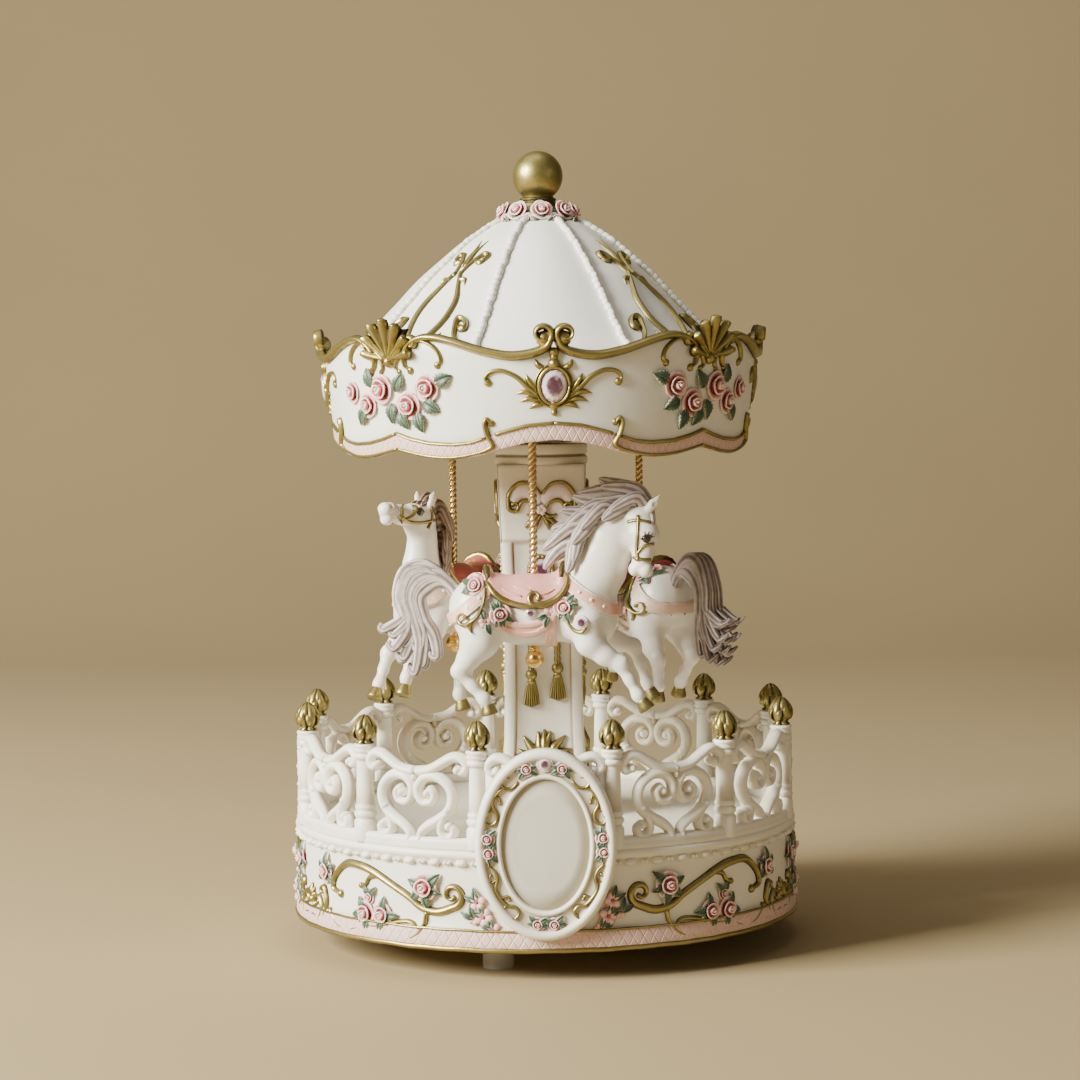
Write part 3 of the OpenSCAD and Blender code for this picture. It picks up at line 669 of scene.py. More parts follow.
def drum_cluster(clay, place, centre, sign):
    """A crest of leaves over two volutes that face each other, with scallops below."""
    middle = at(place, sign * arc(centre), 0)
    for side in (1, -1):
        c_line = curled_both([(3.0, 13.0), (6.6, 12.4), (8.4, 15.6), (6.4, 18.8), (3.6, 18.4)],
            (2.2, 0.5, 300, 1), (1.7, 0.5, 300, 1), 6)
        scroll(clay, middle, flipped(c_line, side), [0.8, 1.3, 1.7, 1.7, 1.3, 0.8], 1.6, ball=0.7, tip=0.7)
        outer = curled(flowing([(1.0, 9.8), (5.0, 10.2), (9.2, 12.6), (11.6, 17.4), (10.6, 21.4)], 6), 1.6,
            0.5, 330, 1)
        scroll(clay, middle, flipped(outer, side), [1.0, 1.6, 1.8, 1.4, 0.8], 1.5, ball=0.7)
    for tilt in (-58, -30, 0, 30, 58):
        crest = at(middle, 0, 17.6, 90 + tilt)
        blade = np.array([(0, 0), (2.2, 0), (4.6 - abs(tilt) * 0.022, 0)])
        clay.strand(crest, flowing(blade, 4), [0.7, 1.9, 0.7], [0.8, 1.7, 0.7], sides=8)
    clay.knob(middle, 0, 17.2, 1.4, 1.6)
    for side in (-1, 0, 1):
        drop = flowing([(side * 3.4 - 1.5, 11.6), (side * 3.4, 9.8), (side * 3.4 + 1.5, 11.6)], 5)
        scroll(clay, middle, drop, [0.8, 1.2, 0.8], 1.6)


def drum_relief():
    gold = Clay()
    for base in (0, 180):
        place = on_wall(base)
        for sign in (1, -1):
            drum_scrolls(gold, place, sign)
            drum_cluster(gold, place, 67, sign)
    for sign in (1, -1):
        place = on_wall(90 * sign)
        for side in (1, -1):
            vine = curled_both([(arc(1), 31), (arc(6), 32.5), (arc(11), 29), (arc(8), 24.6)],
                (1.8, 0.5, 280, 1), (1.5, 0.4, 280, -1), 8)
            scroll(gold, place, flipped(vine, side), [0.9, 1.6, 1.9, 1.4, 0.8], 1.3, ball=0.8, tip=0.8)
    gold.cast("drum_scrolls", "root", "gold_paint", GOLD_PAINT)


def spray(clay, place, leaves, length, mat=1):
    """Leaves at several angles, each a little different in length."""
    for i, angle in enumerate(leaves):
        leaf(clay, place, angle, length * (1 + 0.12 * math.sin(i * 2.3)), mat=mat, start=length * 0.22)


def drum_roses():
    clay = Clay()
    for base in (0, 180):
        place = on_wall(base)
        for sign in (1, -1):
            def set_rose(angle, z, radius, leaves, length=3.9, turn=0):
                spot = at(place, sign * arc(angle), z)
                turned_leaves = [a if sign > 0 else 180 - a for a in leaves]
                spray(clay, spot, turned_leaves, length)
                rose(clay, spot, radius * 1.12, turn)

            set_rose(27.2, 27.2, 3.3, (20, 140, 200, 262, 320), 5.0)
            set_rose(38.4, 17.6, 2.9, (95, 178, 225, 285), 4.6, 30)
            set_rose(43.6, 17.3, 2.9, (60, -10, 318, 262), 4.6, 70)
            set_rose(42.6, 22.2, 1.6, (60, 130), 3.4)
            set_rose(58.4, 27.6, 2.9, (30, 92, 150, 215, 330), 4.6)
            set_rose(75.4, 28.2, 2.7, (30, 100, 190, 260), 4.4)
            set_rose(77.6, 15.4, 2.6, (60, 150, 215, 330), 4.2)
    for sign in (1, -1):
        place = on_wall(90 * sign)
        for u, z, radius in ((0, 27.4, 3.1), (-3.2, 17.0, 2.8), (3.6, 16.2, 2.6), (0.6, 21.4, 1.8)):
            spray(clay, at(place, u, z), (40, 120, 185, 250, 320), radius * 1.5)
            rose(clay, at(place, u, z), radius, u * 40)
    front = on_wall(0)
    for x, z, size in ((-20.6, 23.6, 2.4), (-18.6, 19.2, 2.6), (-15.9, 15.4, 2.3), (-21.6, 18.6, 1.7),
                       (19.6, 23.8, 2.5), (18.2, 19.2, 2.6), (16.0, 15.4, 2.0), (22.2, 20.2, 1.7)):
        for angle in (25, 75):
            leaf(clay, at(front, x, z), angle if x > 0 else 180 - angle, 4.6, 1.9)
        flower(clay, at(front, x, z, lift=0.5), size * 1.1, turn=x * 20)
    piece = clay.cast("drum_roses", "root", "rose_paint", ROSE_PAINT, LEAF_PAINT)
    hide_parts("base_roses")


drum_relief()
drum_roses()


# ---- fence ----
# Twelve open panels stand round the deck between turned posts. Each panel is two C-scrolls that
# meet as a heart under a wavy rail, cast right through so that both sides look the same.

FENCE_R = 77.0
RAIL_DEPTH = 2.3
BAYS = 12
POST_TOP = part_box("fence_posts")[1][2] / MM


def fence_bay(clay, place):
    rail = [(0, 61.6), (5, 62.3), (9, 64.4), (12.5, 66.2), (15.4, 66.0), (17.0, 63.8), (15.8, 61.8),
        (14.2, 62.5)]
    heart = [(4.4, 55.2), (5.3, 56.5), (6.6, 55.0), (5.6, 52.7), (2.8, 52.4), (1.15, 54.6), (1.2, 57.6),
        (3.7, 60.1),
        (7.6, 60.2), (11.2, 57.6), (12.3, 53.6), (10.8, 49.8), (7.4, 47.2), (4.2, 45.4), (2.0, 43.4),
        (1.9, 41.6)]
    foot = [(11.0, 50.4), (9.2, 47.4), (8.5, 44.4), (9.8, 42.4), (12.0, 42.5), (12.7, 44.6), (11.2, 45.5)]
    for sign in (1, -1):
        for points, wide in ((rail, [3.2, 3.3, 3.3, 3.4, 2.9, 2.2]),
                (heart, [2.3, 2.6, 3.0, 3.5, 3.6, 3.4, 3.0]),
                             (foot, [2.3, 2.9, 3.0, 2.5])):
            line = bent(points, 7, sign)
            clay.strand(place, line, wide, RAIL_DEPTH, sink=RAIL_DEPTH, crest=2.4, tone=(0.35, 1), sides=12)
            for end in (line[0], line[-1]):
                clay.knob(place, end[0], end[1], 1.5, RAIL_DEPTH + 0.35, tone=(0.9, 1), sides=10)
    stem = np.array([(0, 61), (0, 59)])
    clay.strand(place, stem, [2.6, 1.4], RAIL_DEPTH, sink=RAIL_DEPTH, sides=10)


def fence():
    clay = Clay()
    for i in range(BAYS):
        fence_bay(clay, on_wall(i * 360 / BAYS, FENCE_R))
    low, high = TOP - 0.4, TOP + 3.2
    plinth = [(FENCE_R - 3.0, low), (FENCE_R + 2.3, low), (FENCE_R + 2.7, low + 0.8),
        (FENCE_R + 2.3, low + 1.7),
              (FENCE_R + 2.5, high - 1.0), (FENCE_R + 2.0, high), (FENCE_R - 2.2, high),
              (FENCE_R - 2.9, high - 1.2)]
    clay.block(turned(plinth, 192), np.array([0.4, 0.8, 0.9, 0.6, 0.9, 1, 1, 0.8])[:, None], loop=True)
    backing = on_wall(0, FENCE_R)
    u = np.linspace(-17.5, 17.5, 15)[:, None]
    top = 60.6 + 3.6 * (np.abs(u) / 17.5) ** 2
    u = u + np.zeros(4)
    v = np.concatenate([top * 0 + TOP, top * 0 + TOP, top, top], 1)
    h = np.array([-1.6, 1.2, 1.2, -1.6])[None, :] + 0 * u
    clay.block(np.stack(backing(u, v, h), -1), 0.8)
    piece = clay.cast("fence_casting", "root", "resin", IVORY_PAINT)
    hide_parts("fence_panels")


def lathe_grid(outline, sides=28, lobes=0, deep=0.0, twist=0.0):
    """A turned shape on its own axis, as offsets and heights; lobes flute it."""
    a = np.arange(sides) * 2 * math.pi / sides
    outline = np.asarray(outline, float)
    r = outline[:, :1] * (1 + deep * (np.abs(np.cos((a + twist * outline[:,
        1:]) * lobes / 2)) - 0.6)) if lobes else outline[:, :1]
    return r * np.cos(a), r * np.sin(a), outline[:, 1:] + 0 * a


def fence_posts():
    clay = Clay()
    base = TOP - 0.2
    outline = above(base,
        (0.01, 0), (3.2, 0), (3.5, 0.6), (3.45, 6.2), (3.0, 6.8), (2.75, 7.2), (3.3, 7.8), (3.5, 8.5),
        (3.3, 9.2), (2.75, 9.6), (3.1, 10.1), (3.15, 10.8), (2.8, 11.4), (2.7, 12.4),
        (2.6, 18)) + above(POST_TOP,
        (2.45, -5.4), (2.5, -4.7), (3.15, -4.4), (3.3, -3.7), (3.1, -3.1), (2.6, -2.8), (3.2, -2.4),
        (3.35, -1.8), (3.0, -1.3), (3.3, -1.0), (3.5, -0.5), (3.3, -0.05), (0.01, 0))
    tone = np.array([0.3 if r < 2.9 else 1.0 for r, _ in outline])
    tone[14:16] = 0.85
    x, y, z = lathe_grid(outline)
    for i in range(BAYS):
        a = math.radians((i + 0.5) * 360 / BAYS)
        grid = np.stack([FENCE_R * math.sin(a) + x, -FENCE_R * math.cos(a) + y, z], -1)
        clay.block(grid, tone[:, None])
    piece = clay.cast("fence_posts_turned", "root", "resin", IVORY_PAINT)
    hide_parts("fence_posts")


def post_buds():
    """Closed lotus buds: a ring of six outer petals and six taller ones behind them."""
    clay = Clay()
    low = POST_TOP
    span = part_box("post_buds")[1][2] / MM - low
    body = [(0.01, 0), (2.6, 0.02), (2.7, 0.07), (2.0, 0.11), (2.3, 0.16), (3.2, 0.28), (3.6, 0.42),
        (3.5, 0.56),
            (3.0, 0.70), (2.2, 0.84), (1.2, 0.95), (0.01, 1.0)]
    x, y, z = lathe_grid([(r, h * span) for r, h in body], 48, lobes=6, deep=0.28)
    shade = np.clip(0.15 + 0.85 * (np.hypot(x, y) / np.array([r for r, _ in body])[:, None] - 0.88) / 0.25, 0,
        1)
    for i in range(BAYS):
        a = math.radians((i + 0.5) * 360 / BAYS)
        cx, cy = FENCE_R * math.sin(a), -FENCE_R * math.cos(a)
        clay.block(np.stack([cx + x, cy + y, low + z], -1), shade)
        for row, count, reach, rise, tall, wide in ((0, 6, 3.05, 0.2, 0.52, 1.35),
                (1, 6, 2.5, 0.42, 0.5, 1.15)):
            for k in range(count):
                b = (k + 0.5 * row) * 2 * math.pi / count + a
                t = np.linspace(0, 1, 8)
                swell = reach * (0.78 + 0.42 * np.sin(math.pi * (0.15 + 0.75 * t))) * (1 - 0.55 * t**2.5)
                swell = np.minimum(swell, 3.75)
                axis = np.stack([cx + swell * np.cos(b), cy + swell * np.sin(b),
                    low + span * (rise + tall * t)], -1)
                across = np.array([-math.sin(b), math.cos(b), 0])
                outward = np.array([math.cos(b), math.sin(b), 0.25])
                ring = np.arange(8) * math.pi / 4
                w = wide * np.sin(math.pi * (0.1 + 0.87 * t)) ** 0.7
                grid = axis[:, None] + across * (np.cos(ring)[None, :, None] * w[:, None, None]) \
                    + outward * (np.sin(ring)[None, :, None] * 0.55)
                clay.block(grid, np.clip(0.25 + np.sin(ring) * 0.75, 0, 1)[None, :])
    piece = clay.cast("post_buds_cast", "root", "gold_paint", GOLD_PAINT)
    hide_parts("post_buds")


fence()
fence_posts()
post_buds()


# ---- photo frame ----
# An oval frame leans on the front of the drum: a rounded rim, a sunken band full of gold scrolls
# and paired roses, and a thin bead round the opening where the picture card lies.

OVAL_A, OVAL_B = 20.7, 28.2
HOLE_A, HOLE_B = 12.9, 19.3
FRAME_Z = (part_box("photo_frame")[0][2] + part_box("photo_frame")[1][2]) / 2 / MM
FRAME_Y = -84.0
CARD_Y = -81.9


def on_frame(u, v, h):
    """Flat work on the frame's band: u to the right, v up from the frame's centre."""
    return u + 0 * h, FRAME_Y + 1.5 - h + 0 * u, FRAME_Z + v + 0 * h


def photo_frame():
    clay = Clay()
    a = np.arange(128) * 2 * math.pi / 128
    bands = [(-0.3, 3.2), (-0.2, 0.9), (0.0, -0.2), (0.7, -0.9), (1.4, -1.05), (2.1, -0.8), (2.6, -0.1),
        (2.9, 0.35),
             (6.0, 0.4), (6.2, 0.1), (6.7, -0.35), (7.2, -0.3), (7.6, 0.2), (7.75, 1.2), (7.8, 2.1),
             (7.8, 2.7), (4.0, 4.0)]
    shade = [0.5, 0.7, 0.9, 1, 1, 0.8, 0.2, 0.35, 0.35, 0.2, 0.9, 1, 0.5, 0.2, 0.1, 0.1, 0.3]
    rows = []
    for inset, depth in bands:
        share = inset / 7.8
        ra = OVAL_A * (1 - share) + HOLE_A * share
        rb = OVAL_B * (1 - share) + HOLE_B * share
        rows.append(np.stack([ra * np.sin(a), FRAME_Y + 1.1 + depth + 0 * a, FRAME_Z + rb * np.cos(a)], -1))
    clay.block(rows, np.array(shade)[:, None], loop=True)
    piece = clay.cast("photo_frame_casting", "root", "resin", IVORY_PAINT)
    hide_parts("photo_frame")
    card = Clay()
    rings = []
    for share in (0.01, 0.35, 0.7, 1.0, 1.0, 0.01):
        deep = 0.5 if len(rings) >= 4 else -0.35 * (1 - share**2)
        rings.append(np.stack([HOLE_A * 1.04 * share * np.sin(a), CARD_Y + deep + 0 * a,
            FRAME_Z + HOLE_B * 1.03 * share * np.cos(a)], -1))
    card.block(rings, np.array([1, 0.95, 0.85, 0.2, 0.2, 0.2])[:, None])
    paper_card = card.cast("photo_card_paper", "root", "felt_card", card_paint())
    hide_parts("photo_card")


def card_paint():
    paint = Paint("picture_card", Roughness=0.6)
    cloud = paint.noise(7, 4)
    fibre = paint.noise(0.4, 2)
    edge = (1 - paint.carried("tone")) * 0.6 + (cloud - 0.5) * 0.4
    paint.feed(Base_Color=paint.mix(edge.ramp(0.0, 0.8), (0.63, 0.61, 0.51), (0.44, 0.38, 0.27)))
    return paint.bump(fibre, 0.03, 0.4).material


def frame_relief():
    gold, roses = Clay(), Clay()
    vines = (
        [(-10.7, 20.1), (-12.0, 20.4), (-13.1, 18.8), (-12.0, 17.0), (-9.9, 17.0), (-8.2, 18.6)],
        [(-9.9, 17.0), (-13.0, 16.5), (-15.0, 14.2), (-15.5, 12.0), (-14.4, 9.4), (-14.6, 7.2), (-16.3, 6.1),
        (-17.7, 7.2), (-17.2, 8.7)],
        [(-15.3, 13.8), (-13.8, 14.4), (-13.3, 12.5)], [(-15.0, 10.8), (-16.8, 10.0), (-17.1, 10.8)],
        [(-16.9, -5.6), (-15.0, -7.6), (-14.4, -9.9), (-14.9, -12.8), (-13.5, -15.5), (-11.3, -17.7),
        (-9.2, -18.1), (-8.1, -19.8), (-9.4, -21.6), (-11.0, -20.9)],
        [(-14.6, -9.9), (-16.2, -10.9), (-17.1, -9.8), (-16.2, -8.7)],
        [(-13.5, -15.5), (-11.4, -15.0), (-10.9, -16.0)],
        [(-11.8, -17.7), (-13.4, -18.8), (-14.0, -17.8)])
    for sign in (1, -1):
        for line in vines:
            small = len(line) < 5
            width = [0.5, 0.95, 0.6] if small else [0.6, 1.0, 1.15, 1.15, 1.0, 0.8]
            scroll(gold, on_frame, bent(line, 7, sign), width, 0.8 if small else 1.1, ball=0.55,
                tip=0.0 if small else 0.45)
    gold.cast("frame_scrolls", "root", "gold_paint", GOLD_PAINT)
    for x, z, size in ((-5.5, 22.6, 2.0), (5.1, 22.6, 1.9), (-17.3, 2.1, 2.1), (-16.9, -2.2, 2.1),
            (16.9, 2.1, 2.1),
                       (17.1, -2.2, 2.0), (-2.7, -23.4, 1.9), (2.3, -23.5, 1.9)):
        spot = at(on_frame, x, z)
        out = math.degrees(math.atan2(z, x))
        across = out + 90
        spray(roses, spot, (across, across + 40, across + 180, across + 140), 2.9)
        rose(roses, spot, size, x * 30 + z * 9)
    roses.cast("frame_roses", "root", "rose_paint", ROSE_PAINT, LEAF_PAINT)


GEM = (0.10, 0.03, 0.06)


def gem_paint():
    """Lilac glass, darker towards its middle, with a pale ring at the girdle that is a painted highlight."""
    paint = Paint("lilac_gem", Roughness=0.03, IOR=1.7, Coat_Weight=1.0, Metallic=0.25)
    cloud = paint.noise(1.6, 2)
    # High tone at the girdle gives the pale painted highlight there.
    depth = (paint.carried("tone") + (cloud - 0.5) * 0.5).ramp(0.15, 0.6)
    paint.feed(Base_Color=paint.mix(depth, GEM, (0.93, 0.76, 0.84)))
    return paint.material


GEM_PAINT = gem_paint()


def cut_stone(clay, place, a, b, deep, mat=0, sides=10):
    """An oval stone with a flat table, a ring of star facets and a girdle."""
    turn = np.arange(sides) * 2 * math.pi / sides
    rows = []
    for share, high, twist in ((0.02, -0.3, 0), (0.8, -0.3, 0), (1.0, 0.15, 0), (0.86, 0.62, 0.5),
            (0.55, 0.95, 0), (0.02, 1.0, 0)):
        t = turn + twist * math.pi / sides
        rows.append(np.stack(place(a * share * np.cos(t), b * share * np.sin(t), deep * high + 0 * t), -1))
    clay.block(rows, np.array([0.5, 0.5, 1.0, 0.9, 0.25, 0.0])[:, None], mat)


def frame_gem():
    clay, bezel = Clay(), Clay()
    spot = at(on_frame, 0, 24.0)
    cut_stone(clay, at(spot, 0, 0, lift=0.5), 2.0, 2.0, 0.9)
    ring = oval(2.2, 2.2, 25)
    bezel.strand(spot, ring, 0.6, 0.8)
    bezel.cast("frame_gem_ring", "root", "resin", IVORY_PAINT)
    piece = clay.cast("frame_gem_stone", "root", "gem", GEM_PAINT, smooth=False)
    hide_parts("frame_gem")


photo_frame()
frame_relief()
frame_gem()


# ---- canopy ----
# The canopy is one casting: a roof that swells over eight panels and a deep fascia with a scalloped
# lower edge. It repeats four times round, with a jewel at each quarter and a shell between jewels.

CANOPY_TURN = 3.5
JEWEL_Z = 175.9
FINIAL_R = 8.0
QUARTERS = 4
FASCIA_R = 67.4
EDGE = [(0, 159.9), (7, 159.2), (14, 157.3), (16, 156.5), (20, 155.3), (27, 154.4), (34, 154.6), (40, 155.7),
    (45, 157.0)]
BORDER = [(0, 164.8), (7, 164.1), (14, 162.0), (17, 160.9), (22, 159.1), (27, 158.5), (34, 158.9),
    (40, 160.2), (45, 161.9)]
BRIM = [(0, 186.2), (6, 185.4), (12, 184.9), (19, 186.4), (26, 188.8), (32, 190.2), (38, 190.6), (45, 190.9)]
ROOF = [(66.5, 184.5), (62, 186.4), (57.5, 189.6), (52.6, 194.4), (48.4, 198.9), (44.4, 203.0), (38.4, 209.4),
    (30.4, 216.4),
        (24.4, 221.4), (16.4, 226.4), (12.0, 228.4)]


def in_quarter(table, degrees):
    """A height that repeats, mirrored, in every quarter of the canopy."""
    folded = np.abs((np.asarray(degrees, float) + 45) % 90 - 45)
    xs, ys = zip(*table)
    return np.interp(folded, xs, ys)


def fascia_radius(z):
    return 65.4 + (np.asarray(z, float) - 159) * (3.6 / 32.4)


def on_fascia(angle):
    """Lays flat work on the fascia: u round it, v up, h out."""

    def place(u, v, h):
        a = math.radians(CANOPY_TURN + angle) + u / FASCIA_R
        r = fascia_radius(v) + h
        return r * np.sin(a), -r * np.cos(a), v + 0 * a

    return place


def on_roof(angle):
    """Lays flat work on the roof: u round it, v is height, h is square to the surface."""
    rs, zs = np.array(ROOF)[::-1].T
    zs, rs = zs[::-1], rs[::-1]

    def place(u, v, h):
        v = np.asarray(v, float)
        r = np.interp(v, zs, rs)
        slope = (np.interp(v + 1.5, zs, rs) - np.interp(v - 1.5, zs, rs)) / 3
        norm = np.sqrt(1 + slope**2)
        a = math.radians(CANOPY_TURN + angle) + u / r
        far = r + h / norm
        return far * np.sin(a), -far * np.cos(a), v - h * slope / norm + 0 * a

    return place


def canopy_shell():
    clay = Clay()
    deg = np.arange(480) * 360 / 480
    turned_deg = deg - CANOPY_TURN
    a = np.radians(deg)
    low, border, brim = (in_quarter(t, turned_deg) for t in (EDGE, BORDER, BRIM))
    rows = []
    for share in np.linspace(0, 1, 9):
        z = border - 0.6 + (brim - border + 0.6) * share
        rows.append((fascia_radius(z) + 0.35 * math.sin(math.pi * share), z))
    rows += [(fascia_radius(brim) - 0.8, brim + 0.9), (fascia_radius(brim) - 2.2, brim + 0.6),
        (fascia_radius(brim) - 3.0, brim - 0.8)]
    for share in (0.7, 0.3, 0.0):
        z = low + 0.4 + (brim - low - 3) * share
        rows.append((fascia_radius(z) - 3.2, z))
    rows.append((fascia_radius(low) - 1.4, low + 0.3))
    grid = [np.stack([r * np.sin(a), -r * np.cos(a), z], -1) for r, z in rows]
    # Lower tone along the fascia's inner face and under its brim: painted shade inside the canopy.
    tone = np.array([0.55, 0.9, 1, 1, 1, 1, 1, 0.9, 0.6, 0.7, 0.6, 0.3, 0.4, 0.4, 0.4, 0.4])
    clay.block(grid, tone[:, None], loop=True)
    lattice_band(clay, lambda d: in_quarter(EDGE, d - CANOPY_TURN),
        lambda d: in_quarter(BORDER, d - CANOPY_TURN), fascia_radius, 0.35)
    fine = flowing(ROOF, 5)
    inside = [(r - 1.6, z - 2.2) for r, z in ROOF[::-2]]
    outline = np.concatenate([fine, inside])
    panel = np.cos(np.radians(deg - CANOPY_TURN) * 8)[None, :]
    r, z = outline[:, :1], outline[:, 1:]
    swell = np.where(np.arange(len(outline))[:, None] < len(fine), 0.45, 0) * np.clip((r - 14) / 20, 0, 1)
    r = r + swell * panel
    shade = np.where(np.arange(len(outline)) < len(fine), 1.0, 0.3)
    shade[:4] = 0.4, 0.6, 0.8, 0.9
    clay.block(np.stack([r * np.sin(a), -r * np.cos(a), z + 0 * a], -1), shade[:, None], loop=True)
    piece = clay.cast("canopy_casting", "canopy", "roof_resin", ROOF_PAINT, PINK_PAINT)
    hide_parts("canopy_shell")


def roof_ribs():
    """Eight beaded cords that run down the seams between the roof's panels."""
    clay = Clay()
    arc_length = np.concatenate([[0], np.cumsum(np.hypot(*np.diff(np.array(ROOF), axis=0).T))])
    heights = np.array(ROOF)[:, 1]
    for k in range(8):
        place = on_roof(22.5 + 45 * k)
        walk = np.arange(5.5, arc_length[-1] - 1.5, 2.3)
        for i, s in enumerate(walk):
            v = np.interp(s, arc_length, heights)
            spot = at(place, 0.18 * math.sin(i * 1.9), v)
            size = 1.3 + 0.15 * math.sin(i * 2.6 + k)
            rise = 1.0 + 0.35 * (s / arc_length[-1])
            clay.knob(spot, 0, 0, size, 1.15, lift=0.2, tone=(0.05, 1), rings=6, sides=10)
            # The small knobs between the beads take low tone: painted shade between the beads.
            clay.knob(at(place, 0, v + 0.5 * rise), 0, 0, 0.7, 0.6, lift=0.0, tone=(0.0, 0.5), rings=5,
                sides=8)
    clay.cast("roof_cords", "canopy", "roof_resin", ROOF_PAINT)


def shell_fan(clay, place):
    """A scallop shell: seven ribs that fan out of a bead."""
    for i in range(7):
        tilt = (i - 3) * 24
        reach = 12.6 - 0.55 * abs(i - 3) ** 1.5
        rib = at(place, 0, 184.2, 90 + tilt)
        line = flowing([(1.0, 0), (reach * 0.55, 0.2 * (i - 3)), (reach - 1.2, 0.25 * (i - 3)),
            (reach, 0.25 * (i - 3))], 6)
        clay.strand(rib, line, [1.1, 1.8, 2.8, 3.7, 3.3, 0.8], [1.6, 2.2, 2.7, 3.0, 2.6, 0.8], crest=1.8,
            sink=0.8, lift=[0, 0.4, 1.2, 1.8])
    clay.knob(place, 0, 183.6, 1.9, 2.4, rings=8, sides=14)
    back = np.array([(0, 184.5), (0, 193.5)])
    clay.strand(place, back, [4, 17], [1.0, 2.0], sink=1.6, tone=(0, 0.15))
    for side in (1, -1):
        curl_line = curled(flowing([(side * 1.5, 184.2), (side * 4.5, 187.0), (side * 7.5, 190.2)], 6), 2.0,
            0.8, 250, -side)
        clay.strand(place, curl_line, [1.6, 2.0, 1.4], 2.2)


def rail_and_scrolls(clay):
    """The gold rail along the fascia's top, with its volutes and hooks."""
    for q in range(QUARTERS):
        place = on_fascia(90 * q)
        for side in (1, -1):
            points = [(1.0, 189.8), (2.4, 187.4), (6.6, 185.6), (13.4, 185.0), (21.5, 186.6), (29, 189.0),
                (35.4, 190.6), (40.4, 190.6),
                (44.4, 188.8), (46.8, 185.6), (46.6, 182.4), (44.9, 180.9)]
            line = flowing(points, 9)
            line = curled(line[::-1], 2.7, 1.5, 330, -1, 30)[::-1]
            wide = [1.3, 1.7, 2.3, 2.6, 2.9, 2.9, 2.7, 2.6, 2.4, 2.0, 1.6, 1.3]
            scroll(clay, place, flipped(line, side), wide, [3.4, 3.2, 3.0, 2.9, 2.5, 2.4, 2.3, 2.2, 1.9, 1.6],
                ball=1.35, tip=2.6, crest=2.0, sides=14)
            hook = flowing([(40.8, 190.0), (37.4, 188.6), (35.0, 186.4), (34.2, 183.8), (35.4, 182.4)], 7)
            scroll(clay, place, flipped(hook, side), [1.0, 1.6, 1.5, 1.1], 1.5, ball=1.25)
            wing = flowing([(47.4, 186.4), (49.4, 184.4), (50.4, 182.0), (49.2, 180.6)], 7)
            scroll(clay, place, flipped(wing, side), [1.0, 1.4, 1.1], 1.6, ball=1.1)
            roof_curl = curled(flowing([(35.2, 188.2), (36.6, 191.6), (35.8, 195.2)], 6), 2.6, 1.0, 300, 1)
            inner = on_roof(90 * q)
            shrink = flipped(roof_curl, side) * [0.83, 1]
            scroll(clay, inner, shrink + [0, -0.4], [1.5, 1.9, 1.9, 1.5], 1.6, ball=1.2)
        shell_fan(clay, on_fascia(90 * q + 45))


def edge_lines(clay):
    """Thin gold lines over and under the pink band, broken by a hook either side of each jewel."""
    for q in range(QUARTERS):
        place = on_fascia(90 * q)
        for side in (1, -1):
            deg = np.linspace(0, 15.4, 16)
            line = np.stack([np.radians(deg) * FASCIA_R, in_quarter(BORDER, deg) + 0.1], -1)
            scroll(clay, place, flipped(line, side), 1.25, 1.2)
            deg = np.linspace(18, 45, 26)
            cusp = np.stack([np.radians(deg) * FASCIA_R, in_quarter(BORDER, deg) + 0.1], -1)
            scroll(clay, place, flipped(cusp, side), [0.9, 1.3, 1.4, 1.3], 1.2)
            hook = flowing([(19.0, 165.0), (20.4, 166.2), (21.2, 164.6), (20.6, 161.6), (19.0, 158.6),
                (20.6, 157.2), (24.0, 156.1),
                            (31.6, 154.9), (39.6, 155.1), (46.8, 156.2), (52.9, 157.4)], 6)
            scroll(clay, place, flipped(hook, side), [1.2, 1.9, 2.0, 1.8, 1.3, 1.1, 1.1, 1.1],
                [1.5, 1.9, 1.7, 1.2, 1.0, 1.0], tip=1.15)


def jewel_mount(clay, place):
    z = JEWEL_Z
    turn = np.linspace(0, 2 * math.pi, 33)
    for a, b, wide, tall in ((4.5, 5.5, 1.5, 1.9), (5.6, 6.4, 0.8, 1.1)):
        ring = np.stack([a * np.cos(turn), z + b * np.sin(turn)], -1)
        clay.strand(place, ring, wide, tall)
    clay.strand(place, np.array([(0, z - 4.6), (0, z + 4.6)]), [5, 7.6, 5], 0.5, tone=(0, 0.1))
    for v, size in ((182.4, 1.9), (184.4, 1.3), (185.9, 1.6), (170.2, 1.5), (168.0, 1.1), (169.2, 1.1)):
        clay.knob(place, 0, v, size, size * 1.1)
    for side in (1, -1):
        arm = flowing([(5.0, 173.4), (7.6, 175.4), (11.0, 178.6), (15.2, 180.5), (18.8, 180.2), (20.4, 178.4),
            (19.6, 177.0)], 8)
        scroll(clay, place, flipped(arm, side), [2.0, 2.1, 1.7, 1.5, 1.4, 1.3], 1.5, ball=1.35)
        for points in ([(4.8, 172.6), (8.4, 174.2), (11.6, 173.6)],
                [(4.2, 171.4), (7.4, 172.2), (10.4, 171.2)],
                       [(5.2, 174.6), (7.4, 177.4), (8.4, 179.6)], [(3.2, 170.4), (5.4, 170.4), (7.4, 169.2)],
                       [(2.6, 181.2), (4.6, 182.0), (5.4, 183.8)]):
            clay.strand(place, bent(points, 6, side), [1.0, 2.0, 1.7, 0.4], [1.0, 1.5, 1.3, 0.4])


